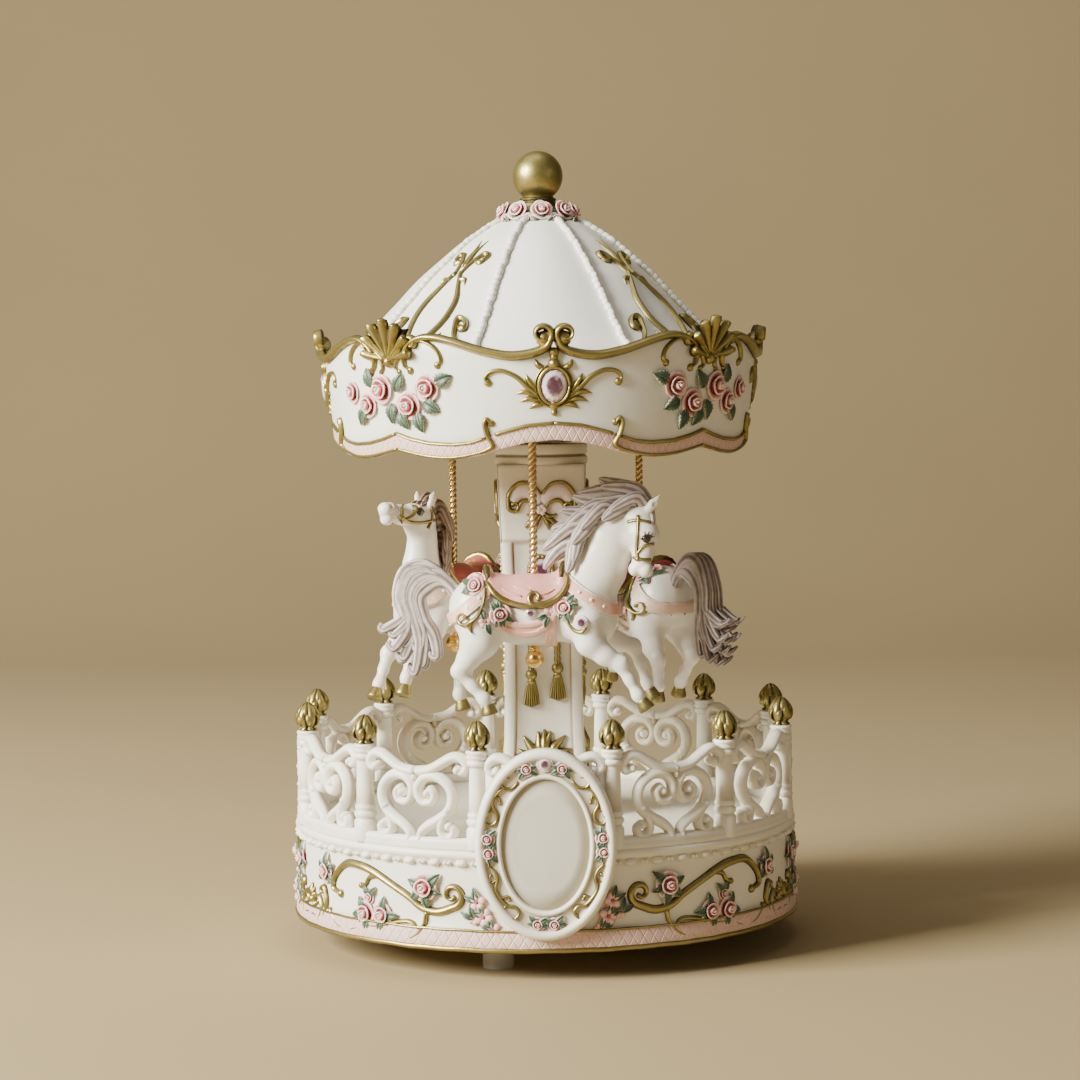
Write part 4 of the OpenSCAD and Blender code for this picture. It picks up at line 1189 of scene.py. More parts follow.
def roof_lyres(clay):
    """Open scrollwork like a lyre on the four roof panels that face the shells."""
    for q in range(QUARTERS):
        place = on_roof(90 * q + 45)
        for side in (1, -1):
            arm = flowing([(1.0, 187.6), (4.4, 191.2), (6.4, 196.2), (6.0, 201.6), (3.4, 206.4),
                (1.0, 210.6)], 7)
            scroll(clay, place, flipped(arm, side), [1.6, 2.3, 2.4, 2.2, 1.8, 1.3], 1.5)
            top = curled(flowing([(1.0, 209.6), (2.0, 213.4), (3.6, 216.0)], 6), 1.7, 0.7, 240, -1)
            scroll(clay, place, flipped(top, side), [1.3, 1.7, 1.5, 1.2], 1.3, ball=0.9)
            for points in ([(1.6, 208.4), (4.2, 208.6), (5.6, 206.6)],
                    [(4.6, 191.6), (7.4, 190.4), (8.2, 192.2)],
                           [(0.6, 212.6), (0.3, 217.0), (1.4, 221.0)],
                           [(3.0, 214.4), (5.6, 214.0), (6.6, 215.8)]):
                clay.strand(place, bent(points, 5, side), [1.2, 1.7, 1.2, 0.4],
                    [1.0, 1.3, 0.9, 0.4])


def canopy_gold():
    clay = Clay()
    rail_and_scrolls(clay)
    edge_lines(clay)
    roof_lyres(clay)
    for q in range(QUARTERS):
        jewel_mount(clay, on_fascia(90 * q))
    clay.cast("canopy_scrolls", "canopy", "gold_paint", GOLD_PAINT)
    stones = Clay()
    for q in range(QUARTERS):
        cut_stone(stones, at(on_fascia(90 * q), 0, JEWEL_Z, lift=0.7), 3.9, 4.9, 1.7, sides=14)
    piece = stones.cast("canopy_stones", "canopy", "gem", GEM_PAINT, smooth=False)
    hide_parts("canopy_gems")


def fascia_roses():
    clay = Clay()
    group = [(-19.4, 174.6, 3.1), (-11.0, 170.6, 3.4), (-4.0, 175.4, 4.0), (6.6, 170.4, 3.8),
        (13.6, 175.6, 3.7)]
    leaves = [(16.4, 177.0, 22), (12.0, 171.4, -28), (2.0, 174.6, 62), (0.2, 171.2, 262), (-8.6, 176.0, 105),
              (-12.6, 169.6, 235), (2.6, 168.8, 300), (9.4, 168.4, 285)]
    for q in range(QUARTERS):
        place = on_fascia(90 * q + 45)
        side = 1 if q % 2 else -1
        for u, v, radius in group:
            rose(clay, at(place, side * u, v), radius, u * 23 + q * 40)
        for u, v, angle in leaves:
            leaf(clay, at(place, side * u, v), angle if side > 0 else 180 - angle, 6.2, 4.2)
    piece = clay.cast("fascia_roses_cast", "canopy", "rose_paint", ROSE_PAINT, LEAF_PAINT)
    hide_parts("fascia_roses")


def plane(origin, normal, up=(0.0, 0.0, 1.0)):
    """Flat work that stands on a small plane with that normal."""
    origin, n, w = np.asarray(origin, float), np.asarray(normal, float), np.asarray(up, float)
    n = n / np.linalg.norm(n)
    side = np.cross(w, n)
    side /= np.linalg.norm(side)
    high = np.cross(n, side)

    def place(u, v, h):
        return tuple(origin[i] + u * side[i] + v * high[i] + h * n[i] for i in range(3))

    return place


def rose_crown():
    """Roses shoulder to shoulder in a ring under the ball, on a bed of leaves."""
    clay = Clay()
    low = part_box("rose_crown")[0][2] / MM
    core = [(6.3, low - 2), (13.2, low - 2.4), (13.6, low - 0.4), (13.0, low + 2.4), (10.6, low + 5.4),
        (6.4, low + 6.0)]
    clay.block(turned(core, 64), 0.2, 1, loop=True)
    count = 9
    for i in range(count):
        a = 2 * math.pi * i / count + 0.1
        out = np.array([math.sin(a), -math.cos(a), 0])
        spot = plane(out * 10.9 + [0, 0, low + 4.2], out + [0, 0, 0.55])
        rose(clay, spot, 3.0, i * 50)
        b = a + math.pi / count
        out = np.array([math.sin(b), -math.cos(b), 0])
        gap = plane(out * 12.4 + [0, 0, low + 1.6], out + [0, 0, 0.35])
        for tilt in (-62, 0, 60):
            leaf(clay, gap, -90 + tilt, 4.8, 2.6)
        rose(clay, plane(out * 12.6 + [0, 0, low + 1.4], out + [0, 0, 0.3]), 1.9, i * 70)
    piece = clay.cast("rose_crown_cast", "canopy", "rose_paint", ROSE_PAINT, LEAF_PAINT)
    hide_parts("rose_crown")


def finial():
    clay = Clay()
    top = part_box("finial_ball")[1][2] / MM
    r = FINIAL_R
    centre = top - r
    neck = above(centre,
        (0.01, -13), (6.2, -13), (6.3, -8.9), (6.0, -8.5), (5.4, -8.2), (5.6, -7.9), (5.9, -7.5),
        (5.6, -7.1), (5.0, -6.9), (4.8, -6.6))
    ball = [(r * math.cos(t), centre + r * math.sin(t)) for t in np.linspace(-0.9, math.pi / 2 - 0.02, 30)]
    x, y, z = lathe_grid(neck + ball, 64)
    clay.block(np.stack([x, y, z], -1), np.array([0.4] * len(neck) + [0.85] * len(ball))[:, None])
    piece = clay.cast("finial_turned", "canopy", "gold_paint", GOLD_PAINT)
    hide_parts("finial_ball")


ROOF_PAINT = ivory("roof_ivory", (0.87, 0.86, 0.80), IVORY_SHADE, 0.36)
canopy_shell()
roof_ribs()
canopy_gold()
fascia_roses()
rose_crown()
finial()


# ---- poles ----
# Each horse hangs from the ceiling on a brass pole of three twisted strands, which runs down
# through the saddle and ends in a brass ball under the belly.

HORSES = ("front", "right", "left")
HORSE_TURN = -4.4
POLE_BALL_R = 2.9


def brass(name="polished_brass", light=(0.96, 0.76, 0.42), shade=(0.46, 0.28, 0.10), rough=0.2):
    paint = Paint(name, Metallic=1.0, Roughness=rough)
    cloud = paint.noise(4, 4)
    fleck = paint.noise(0.7, 3)
    # Painted light: high tone on the twist's strands gives a painted highlight and low tone in its grooves a
    # painted shade, mixed with wear.
    lit_and_worn = (paint.carried("tone") * 0.8 + (cloud - 0.5) * 0.5 + (fleck - 0.5) * 0.25).ramp(0.0, 0.9)
    paint.feed(Base_Color=paint.mix(lit_and_worn, shade, light))
    paint.feed(Roughness=(1 - lit_and_worn) * 0.25 + fleck * 0.12 + (rough - 0.06))
    return paint.bump(fleck, 0.04, 0.4).material


BRASS_PAINT = brass()


def pole_centre(name):
    low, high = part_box("pole_" + name)
    return (low[0] + high[0]) / 2 / MM, (low[1] + high[1]) / 2 / MM


def pole(name):
    clay = Clay()
    low, high = (c[2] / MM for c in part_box("pole_" + name))
    cx, cy = pole_centre(name)
    z = np.linspace(low, high, 210)[:, None]
    a = (np.arange(20) * math.pi / 10)[None, :]
    lobe = np.cos(1.5 * (a - z * 1.15)) ** 2
    r = 0.86 + 0.52 * lobe**0.8
    grid = np.stack([cx + r * np.cos(a), cy + r * np.sin(a), z + 0 * a], -1)
    # Tone is high on the twisted strands and low in their grooves: painted highlight and painted shade.
    clay.block(grid, 0.1 + 0.9 * lobe)
    piece = clay.cast("pole_" + name + "_twisted", "canopy", "brass", BRASS_PAINT)
    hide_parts("pole_" + name)


def pole_balls():
    clay = Clay()
    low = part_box("pole_balls")[0][2] / MM
    r = POLE_BALL_R
    ball = [(0.01, low)] + [(r * math.cos(t), low + r + r * math.sin(t)) for t in np.linspace(-1.4, 1.15, 18)]
    neck = [(1.5, low + 2 * r - 0.1), (1.7, low + 2 * r + 0.5), (1.3, low + 2 * r + 0.9),
        (0.01, low + 2 * r + 1.0)]
    x, y, z = lathe_grid(ball + neck, 32)
    for name in HORSES:
        cx, cy = pole_centre(name)
        clay.block(np.stack([cx + x, cy + y, z], -1), 1.0)
    piece = clay.cast("pole_balls_turned", "canopy", "brass",
        brass("ball_brass", (0.80, 0.52, 0.16), (0.34, 0.19, 0.05), 0.24))
    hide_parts("pole_balls")


for horse_name in HORSES:
    pole(horse_name)
pole_balls()


# ---- column ----
# A square column flares at its foot and under its collar. Each face has a sunken panel with a pink
# cartouche, an oval mirror and two gold tassels, and a gold leaf crest at its foot.

COLUMN_SIDE = [(39.0, 16.0), (42.0, 16.0), (43.4, 15.2), (46.0, 14.7), (50.0, 14.1), (56.0, 13.3),
    (64.0, 12.7), (80.0, 12.3),
    (100.0, 12.3), (116.0, 12.7), (128.0, 13.2), (140.0, 13.7), (148.0, 14.1), (151.0, 14.2)]
PANEL = (46.5, 126.6)


def column_half(z):
    zs, ws = zip(*COLUMN_SIDE)
    return np.interp(z, zs, ws)


COLUMN_BORE = 5.0
SHAFT_BORE = 2.06
COLLAR_TALL = 6.4
MIRROR_Z = 117.4


def on_column(side):
    """Flat work on one face of the column."""
    c, s = math.cos(math.radians(side)), math.sin(math.radians(side))

    def place(u, v, h):
        x, y = u + 0 * v, -(column_half(v) + h)
        return c * x - s * y, s * x + c * y, v + 0 * x

    return place


def column():
    clay = Clay()
    heights = np.unique(np.concatenate([[z for z, _ in COLUMN_SIDE], np.linspace(44, 150, 40),
        [PANEL[0] - 0.6, PANEL[0] - 0.1, PANEL[0] + 0.5, PANEL[0] + 1.1, PANEL[1] - 1.1, PANEL[1] - 0.5,
        PANEL[1] + 0.1, PANEL[1] + 0.6]]))
    share = np.array([-0.985, -0.95, -0.85, -0.76, -0.73, -0.70, -0.67, -0.62, -0.3, 0, 0.3, 0.62, 0.67, 0.70,
        0.73, 0.76, 0.85, 0.95, 0.985])
    sunk = np.array([0.5, 0, 0, 0, 0.25, 0.7, 0.6, 0.9, 0.9, 0.9, 0.9, 0.9, 0.6, 0.7, 0.25, 0, 0, 0, 0.5])
    edge = np.array([0.5, 0.1, 0, 0, 0.0, 0.0, 0, 0, 0, 0, 0, 0, 0, 0, 0, 0, 0, 0.1, 0.5])
    # Tone drops in the panel's sunk border and along its top and bottom edges: painted shade in the recess.
    tone = np.array([0.9, 1, 1, 1, 0.6, 0.0, 0.5, 0.85, 0.95, 0.95, 0.95, 0.85, 0.5, 0.0, 0.6, 1, 1, 1, 0.9])
    rows, tones = [], []
    for z in heights:
        inside = float(np.clip(min(z - PANEL[0], PANEL[1] - z) / 0.6, 0, 1))
        w = column_half(z)
        depth = edge + (sunk - edge) * inside
        row = []
        for side in range(4):
            c, s = math.cos(side * math.pi / 2), math.sin(side * math.pi / 2)
            x, y = share * w, -(w - depth)
            row.append(np.stack([c * x - s * y, s * x + c * y, z + 0 * x], -1))
        rows.append(np.concatenate(row))
        plain = 0.9 if abs(z - PANEL[0]) > 0.7 and abs(z - PANEL[1]) > 0.7 else 0.35
        tones.append(np.tile(plain + (tone - plain) * inside, 4))
    bore = rows[0][:, :2] / np.linalg.norm(rows[0][:, :2], axis=1, keepdims=True) * COLUMN_BORE
    for z in (heights[-1], heights[0]):
        rows.append(np.column_stack([bore, np.full(len(bore), z)]))
        tones.append(np.full(len(bore), 0.5))
    clay.block(rows, np.array(tones), loop=True)
    piece = clay.cast("column_casting", "root", "resin", COLUMN_PAINT)
    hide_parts("column")


def tassel(clay, place, u, top, low):
    """A gold tassel on a twisted cord."""
    z = np.linspace(top, low + 11, 40)
    line = np.stack([u + 0.35 * np.sin(z * 1.6), z], -1)
    clay.strand(place, line, 1.5, 1.5, lift=-0.6)
    line = np.stack([u - 0.35 * np.sin(z * 1.6), z], -1)
    clay.strand(place, line, 1.5, 1.5, lift=-0.6)
    clay.knob(place, u, low + 10.4, 1.9, 2.0, lift=-0.4)
    clay.knob(place, u, low + 8.4, 1.3, 1.5, lift=-0.4)
    for i in range(7):
        spread = (i - 3) / 3
        line = flowing([(u + spread * 0.9, low + 8.2), (u + spread * 1.7, low + 4.5),
            (u + spread * 2.3, low + 0.3 * abs(i - 3))], 5)
        clay.strand(place, line, [0.8, 1.0, 0.8], [1.6, 2.0 - 0.8 * abs(spread), 1.4], lift=-0.6)


def column_relief():
    gold, pink, stones = Clay(), Clay(), Clay()
    for side in (0, 90, 180, 270):
        place = on_column(side)
        for sign in (1, -1):
            upper = curled(flowing([(0.3, 141.8), (3.2, 145.0), (7.2, 145.2), (10.2, 142.0), (10.6, 138.4)],
                7), 2.0, 0.7, 330, -1)
            scroll(gold, place, flipped(upper, sign), [0.9, 1.3, 1.5, 1.5, 1.1], 1.3, ball=0.9)
            under = flowing([(0.3, 136.2), (2.6, 139.2), (5.8, 139.6), (7.8, 137.0)], 7)
            scroll(gold, place, flipped(under, sign), [0.8, 1.2, 1.1], 1.2)
            middle = flowing([(0.4, 139.0), (3.0, 142.2), (6.6, 142.6), (9.3, 139.6)], 7)
            pink.strand(place, flipped(middle, sign), [4.2, 5.0, 5.2, 3.4], 0.9, tone=(0.2, 1))
            for points in ([(0, 136.4), (2.4, 134.6), (4.8, 135.4)], [(0, 135.4), (1.8, 132.6), (2.2, 130.4)],
                    [(0.4, 134.8), (3.8, 132.8), (5.2, 131.0)]):
                gold.strand(place, bent(points, 5, sign), [0.9, 1.8, 0.6], [1.0, 1.5, 0.5])
            crest = curled(flowing([(1.2, 56.0), (4.6, 58.6), (8.6, 58.4), (11.0, 55.4)], 6), 1.5, 0.6, 300,
                -1)
            scroll(gold, place, flipped(crest, sign), [1.0, 1.8, 1.6, 1.0], 1.4, ball=0.9, lift=-0.4)
            for tilt, reach in ((78, 9.6), (50, 10.4), (24, 9.2)):
                blade = at(place, 0, 57, 90 - sign * (90 - tilt))
                gold.strand(blade, flowing([(0.5, 0), (reach * 0.5, 0.5), (reach, 0)], 5), [1.2, 3.5, 0.6],
                    [1.4, 2.2, 0.5], lift=-0.5)
        gold.strand(place, np.array([(0, 56.5), (0, 62), (0, 67)]), [1.8, 3.8, 0.6], [1.8, 2.6, 0.5],
            lift=-0.5)
        flower(pink, at(place, 0, 136.8, lift=1.0), 1.7)
        ring = oval(3.7, 4.6, 33, -0.5, MIRROR_Z)
        gold.strand(place, ring, 1.5, 1.1, lift=-0.8)
        for t in np.arange(18) * math.pi / 9:
            gold.knob(place, 3.7 * math.cos(t) - 0.5, MIRROR_Z + 4.6 * math.sin(t), 0.62, 0.8, lift=0.1,
                rings=5, sides=8)
        cut_stone(stones, at(place, -0.5, MIRROR_Z, lift=-0.5), 3.3, 4.2, 1.0, sides=14)
        tassel(gold, place, -3.9, 110, 74.0)
        tassel(gold, place, 4.4, 110, 76.0)
    gold.cast("column_gold", "root", "gold_paint", GOLD_PAINT)
    pink.cast("column_pink", "root", "resin", PINK_GLAZE)
    stones.cast("column_mirrors", "root", "gem", GEM_PAINT, smooth=False)


def collar():
    """Two moulded rings with a dark seam between them, which carry the canopy's bearing."""
    clay = Clay()
    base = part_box("column_collar")[1][2] / MM - COLLAR_TALL
    outline = above(base,
        (SHAFT_BORE, -8), (4.9, -8), (4.9, 0), (14.6, 0), (14.9, 0.3), (14.9, 2.0), (14.5, 2.4),
        (14.2, 2.7), (14.5, 3.1), (14.8, 3.4), (14.8, 5.9), (14.4, 6.35), (SHAFT_BORE, COLLAR_TALL))
    x, y, z = lathe_grid(outline, 96)
    tones = np.array([1, 1, 1, 1, 1, 0.8, 0.2, 0.0, 0.2, 0.9, 1, 1, 1])[:, None]
    clay.block(np.stack([x, y, z], -1), tones, loop=True)
    piece = clay.cast("collar_turned", "root", "plastic_white", COLLAR_PAINT)
    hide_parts("column_collar")


COLUMN_PAINT = ivory("column_ivory", (0.86, 0.81, 0.70), (0.40, 0.28, 0.15), 0.40)
COLLAR_PAINT = ivory("collar_ivory", (0.84, 0.80, 0.70), (0.16, 0.11, 0.06), 0.35)
PINK_GLAZE = petal_paint("pink_glaze", (0.82, 0.55, 0.48), (0.58, 0.26, 0.22))
column()
column_relief()
collar()


# ---- horses ----
# Three prancing horses, each one casting with its mane, tail and tack. A horse is modelled beside
# its pole with X forward, Z up and -Y to the outside, then stood in its place on the canopy's circle.

VOXEL = 0.42
HORSE_LOW = np.array([-50.0, -15.0, 72.0])
HORSE_HIGH = np.array([46.0, 15.0, 150.0])


class Sculpt:
    """A solid kept as distances on a grid, so that its parts melt into each other."""

    def __init__(self):
        self.shape = np.ceil((HORSE_HIGH - HORSE_LOW) / VOXEL).astype(int)
        self.field = np.full(self.shape, 6.0, np.float32)

    def window(self, low, high):
        a = np.clip(((np.asarray(low) - HORSE_LOW) / VOXEL).astype(int), 0, self.shape)
        b = np.clip(((np.asarray(high) - HORSE_LOW) / VOXEL).astype(int) + 2, 0, self.shape)
        part = tuple(slice(i, j) for i, j in zip(a, b))
        axes = [HORSE_LOW[i] + VOXEL * np.arange(a[i], b[i]) for i in range(3)]
        return part, np.meshgrid(*axes, indexing="ij")

    def melt(self, part, distance, blend):
        old = self.field[part]
        h = np.clip(0.5 + 0.5 * (old - distance) / blend, 0, 1)
        self.field[part] = old + (distance - old) * h - blend * h * (1 - h)

    def ball(self, centre, radii, blend=2.0, tilt=0.0):
        """An ellipsoid, tilted in the side view by degrees."""
        c, r = np.asarray(centre, float), np.broadcast_to(np.asarray(radii, float), 3)
        reach = np.array([max(r[0], r[2])] * 3) + blend + 2
        part, (x, y, z) = self.window(c - reach, c + reach)
        x, y, z = x - c[0], y - c[1], z - c[2]
        cs, sn = math.cos(math.radians(tilt)), math.sin(math.radians(tilt))
        x, z = cs * x + sn * z, -sn * x + cs * z
        k0 = np.sqrt((x / r[0]) ** 2 + (y / r[1]) ** 2 + (z / r[2]) ** 2) + 1e-6
        k1 = np.sqrt((x / r[0] ** 2) ** 2 + (y / r[1] ** 2) ** 2 + (z / r[2] ** 2) ** 2) + 1e-6
        self.melt(part, k0 * (k0 - 1) / k1, blend)

    def limb(self, points, radii, blend=1.6, flat=1.0):
        """Round cones from point to point; flat squeezes them sideways."""
        for a, b, ra, rb in zip(points, points[1:], radii, radii[1:]):
            a, b = np.asarray(a, float), np.asarray(b, float)
            reach = max(ra, rb) + blend + 1.5
            part, (x, y, z) = self.window(np.minimum(a, b) - reach, np.maximum(a, b) + reach)
            d = b - a
            t = ((x - a[0]) * d[0] + (y - a[1]) * d[1] + (z - a[2]) * d[2]) / (d @ d)
            t = np.clip(t, 0, 1)
            dx, dy, dz = x - a[0] - t * d[0], (y - a[1] - t * d[1]) / flat, z - a[2] - t * d[2]
            self.melt(part, (np.sqrt(dx**2 + dy**2 + dz**2) - (ra + (rb - ra) * t)) * (0.5 + 0.5 * flat),
                blend)

    def hollow(self, centre, radius, blend=0.8):
        c = np.asarray(centre, float)
        part, (x, y, z) = self.window(c - radius - 3, c + radius + 3)
        away = radius - np.sqrt((x - c[0]) ** 2 + (y - c[1]) ** 2 + (z - c[2]) ** 2)
        old = self.field[part]
        h = np.clip(0.5 - 0.5 * (old - away) / blend, 0, 1)
        self.field[part] = old + (away - old) * h + blend * h * (1 - h)

    def coat(self, thick, mask):
        """A skin of that thickness over this solid, only where the side-view mask is below zero."""
        x, _, z = self.window(HORSE_LOW, HORSE_HIGH)[1]
        flat = mask(x[:, 0, :], z[:, 0, :])[:, None, :]
        other = Sculpt()
        other.field = np.maximum(self.field - thick, flat).astype(np.float32)
        other.field = np.maximum(other.field, -(self.field + 1.6))
        return other

    def skin(self, side):
        """Flat work laid on the solid as seen from one side: u is x, v is z, h is out."""
        inside = self.field < 0
        ys = HORSE_LOW[1] + VOXEL * np.arange(self.shape[1])
        first = inside.argmax(1) if side < 0 else self.shape[1] - 1 - inside[:, ::-1].argmax(1)
        reach = np.where(inside.any(1), np.abs(ys[first]) + 0.5 * VOXEL, 0.0)
        reach = np.where(inside.any(1), reach, np.nan)
        for _ in range(14):
            near = [np.roll(reach, s, a) for s in (1, -1) for a in (0, 1)]
            with np.errstate(all="ignore"):
                reach = np.where(np.isnan(reach), np.nanmean(near, axis=0), reach)
        reach = np.nan_to_num(reach)
        for _ in range(2):
            reach = (reach * 2 + sum(np.roll(reach, s, a) for s in (1, -1) for a in (0, 1))) / 6

        def place(u, v, h):
            u, v = np.asarray(u, float) + 0 * h, np.asarray(v, float) + 0 * h
            i, j = (u - HORSE_LOW[0]) / VOXEL, (v - HORSE_LOW[2]) / VOXEL
            i, j = np.clip(i, 0, self.shape[0] - 2.01), np.clip(j, 0, self.shape[2] - 2.01)
            a, b = i.astype(int), j.astype(int)
            p, q = i - a, j - b
            y = (reach[a, b] * (1 - p) * (1 - q) + reach[a + 1, b] * p * (1 - q) + reach[a,
                b + 1] * (1 - p) * q
                 + reach[a + 1, b + 1] * p * q)
            return u, side * (y + h), v

        return place

    def mesh_into(self, clay, mat=0, crease=1.0):
        """Adds the solid's surface to a Clay, with its creases marked by low tone, which the paints show as
        painted shade.
        """
        grid = openvdb.FloatGrid(6.0)
        grid.copyFromArray(self.field)
        points, quads = grid.convertToQuads(0.0)
        around = np.zeros_like(self.field)
        for step in (3, -3):
            for axis in range(3):
                around += np.roll(self.field, step, axis)
        dent = self.field - around / 6
        index = np.clip(np.round(points).astype(int), 0, self.shape - 1)
        hollow = dent[index[:, 0], index[:, 1], index[:, 2]]
        tone = np.clip(0.95 - np.clip(hollow - 0.02, 0, 1) * 1.6 * crease, 0, 1)
        clay.points.append(HORSE_LOW + points * VOXEL)
        clay.tones.append(tone)
        clay.faces += (quads.astype(int) + clay.count).tolist()
        clay.mats += [mat] * len(quads)
        clay.count += len(points)


def lock(clay, points, width, thick=0.55, mat=0, tip=0.1, swell=0.35, sides=14, grooves=4):
    """A lock of hair: a flat tapering rope with grooves, its flat side to the outside."""
    line = flowing(points, 7)
    n = len(line)
    t = np.linspace(0, 1, n)
    w = width * (tip + (1 - tip) * np.sin(math.pi * np.clip(swell + (1 - swell) * t, 0, 1)) ** 0.75) / 2
    w = np.maximum(w, width * tip / 2)
    ahead = np.gradient(line, axis=0)
    ahead /= np.linalg.norm(ahead, axis=1)[:, None]
    flat = np.array([0.0, 1.0, 0.0]) - ahead * ahead[:, 1:2]
    flat /= np.linalg.norm(flat, axis=1)[:, None]
    side = np.cross(ahead, flat)
    a = np.arange(sides) * 2 * math.pi / sides
    groove = 1 + 0.13 * np.cos(a * grooves)
    grid = line[:, None] + side[:, None] * (w[:, None] * np.cos(a) * groove)[..., None] \
        + flat[:, None] * (w[:, None] * thick * np.sin(a) * groove)[..., None]
    clay.block(grid, (0.5 + 0.5 * np.cos(a * grooves))[None, :] + 0 * t[:, None], mat)


def stroke(clay, points, radius, mat=0, tone=(0.3, 1.0), sides=10):
    """A round cord through points in space."""
    line = np.asarray(points, float)
    r = sized(radius, np.linspace(0, 1, len(line)))
    ahead = np.gradient(line, axis=0)
    ahead /= np.linalg.norm(ahead, axis=1)[:, None] + 1e-9
    helper = np.array([0.2, 0.9, 0.35])
    flat = helper - ahead * (ahead @ helper)[:, None]
    flat /= np.linalg.norm(flat, axis=1)[:, None]
    side = np.cross(ahead, flat)
    a = np.arange(sides) * 2 * math.pi / sides
    grid = line[:, None] + side[:, None] * (r[:, None] * np.cos(a))[..., None] + flat[:,
        None] * (r[:, None] * np.sin(a))[..., None]
    # Tone is higher on one side of the cord: painted light on that side, painted shade on the other.
    clay.block(grid, tone[0] + (tone[1] - tone[0]) * (0.5 + 0.5 * np.sin(a))[None, :] + 0 * r[:, None], mat)


def near_line(points, half):
    """A side-view mask: below zero within half the width of a line."""
    line = flowing(points, 5)

    def mask(x, z):
        best = np.full(x.shape, 99.0)
        for a, b in zip(line, line[1:]):
            d = b - a
            t = np.clip(((x - a[0]) * d[0] + (z - a[1]) * d[1]) / (d @ d), 0, 1)
            best = np.minimum(best, np.hypot(x - a[0] - t * d[0], z - a[1] - t * d[1]))
        return best - half

    return mask


def inside_line(points):
    """A side-view mask: below zero inside a closed outline."""
    line = flowing(points, 5, closed=True)
    edge = near_line(points + points[:1], 0.0)

    def mask(x, z):
        inside = np.zeros(x.shape, bool)
        for a, b in zip(line, np.roll(line, -1, 0)):
            if a[1] != b[1]:
                cross = (b[0] - a[0]) * (z - a[1]) / (b[1] - a[1]) + a[0]
                inside ^= ((a[1] > z) != (b[1] > z)) & (x < cross)
        return np.where(inside, -1, 1) * edge(x, z)

    return mask


# The two ways a neck is carried: points along the neck and the head with their radii, the jaw,
# the ears, and the crest that the mane grows from.
BOWED = dict(
    neck=([(13, 0, 109), (20.2, 0, 119.5), (24.4, -0.4, 128.6), (30.2, -1.4, 134.2)], (9.6, 7.8, 6.9, 5.0)),
    head=([(33.0, -2.4, 134.6), (34.4, -3.6, 129.8), (34.0, -4.6, 124.6), (33.2, -5.4, 120.6)],
    (4.6, 4.4, 3.1, 2.8)),
    jaw=(30.6, -2.9, 129.4), muzzle=((34.8, -5.9, 119.4), (31.6, -5.2, 119.6), (33.4, -5.8, 121.6)),
    eyes=(35.2, 129.0), ears=[((34.8, -4.0, 136.6), (39.2, -5.4, 142.0)),
    ((33.4, 0.6, 137.4), (35.8, 1.2, 142.2))],
    crest=[(34.0, 139.4), (28.6, 139.2), (22.8, 137.2), (18.2, 133.4), (14.8, 128.6), (13.2, 125.2)],
    flow=(142, 154, 166, 178, 190, 202), nose=(33.4, -5.4, 120.6), across=(1, 0), reach=1.0)
HIGH = dict(
    neck=([(14, 0, 109), (17.4, 0, 118), (17.4, 0.4, 126), (16.4, 0.8, 131.6)], (9.4, 6.7, 5.0, 4.2)),
    head=([(17.4, 0.8, 133.9), (22.0, -0.2, 134.4), (27.0, -1.4, 135.2), (31.2, -2.4, 136.2)],
    (4.1, 4.0, 3.0, 2.7)),
    jaw=(20.6, 0.1, 131.2), muzzle=((32.8, -2.7, 137.0), (32.2, -2.5, 134.2), (31.0, -2.2, 137.2)),
    eyes=(22.4, 136.0), ears=[((16.4, -1.8, 137.4), (15.6, -2.8, 142.2)),
    ((16.4, 3.0, 137.4), (15.4, 4.0, 142.2))],
    crest=[(14.6, 138.4), (12.2, 135.0), (11.6, 130.0), (11.0, 124.6), (9.0, 119.6)],
    flow=(176, 196, 210, 220, 228, 234), nose=(31.6, -2.4, 135.8), across=(0, 1), reach=0.66)

LEGS = (
    ([(-16, -5.4, 103), (-16.4, -6.2, 98), (-19.8, -6.4, 92.6), (-22.8, -6.4, 88.6)], (7.4, 5.8, 3.4, 2.3)),
    ([(-22.8, -6.4, 88.6), (-18.8, -6.5, 84.0), (-15.2, -6.6, 80.0), (-14.2, -6.6, 78.2)],
    (2.3, 1.55, 1.75, 1.45)),
    ([(-16, 5.4, 103), (-16.8, 6.0, 98), (-20.6, 6.2, 92.0), (-23.8, 6.2, 88.2)], (7.4, 5.6, 3.2, 2.2)),
    ([(-23.8, 6.2, 88.2), (-24.0, 6.2, 84.0), (-24.2, 6.2, 80.2), (-23.6, 6.2, 78.4)], (2.2, 1.5, 1.7, 1.4)),
    ([(16.5, -5.2, 103), (17.6, -6.2, 97.4), (22.0, -6.5, 93.4), (27.0, -6.6, 90.6)], (6.0, 4.3, 3.0, 2.3)),
    ([(27.0, -6.6, 90.6), (29.6, -6.7, 85.8), (32.2, -6.7, 81.0), (33.2, -6.7, 79.4)], (2.3, 1.5, 1.7, 1.4)),
    ([(17.5, 5.2, 103), (20.0, 5.8, 98.6), (25.0, 6.0, 96.6), (30.2, 6.0, 95.0)], (6.0, 4.2, 2.9, 2.25)),
    ([(30.2, 6.0, 95.0), (32.4, 6.0, 89.6), (34.4, 6.0, 83.8), (35.0, 6.0, 81.6)], (2.25, 1.5, 1.65, 1.4)),
)
HOOVES = (((-14.2, -6.6, 78.4), (-13.4, -6.6, 75.2)), ((-23.6, 6.2, 78.6), (-23.0, 6.2, 75.2)),
          ((33.0, -6.7, 79.8), (35.0, -6.7, 76.6)), ((35.0, 6.0, 81.8), (36.6, 6.0, 78.4)))

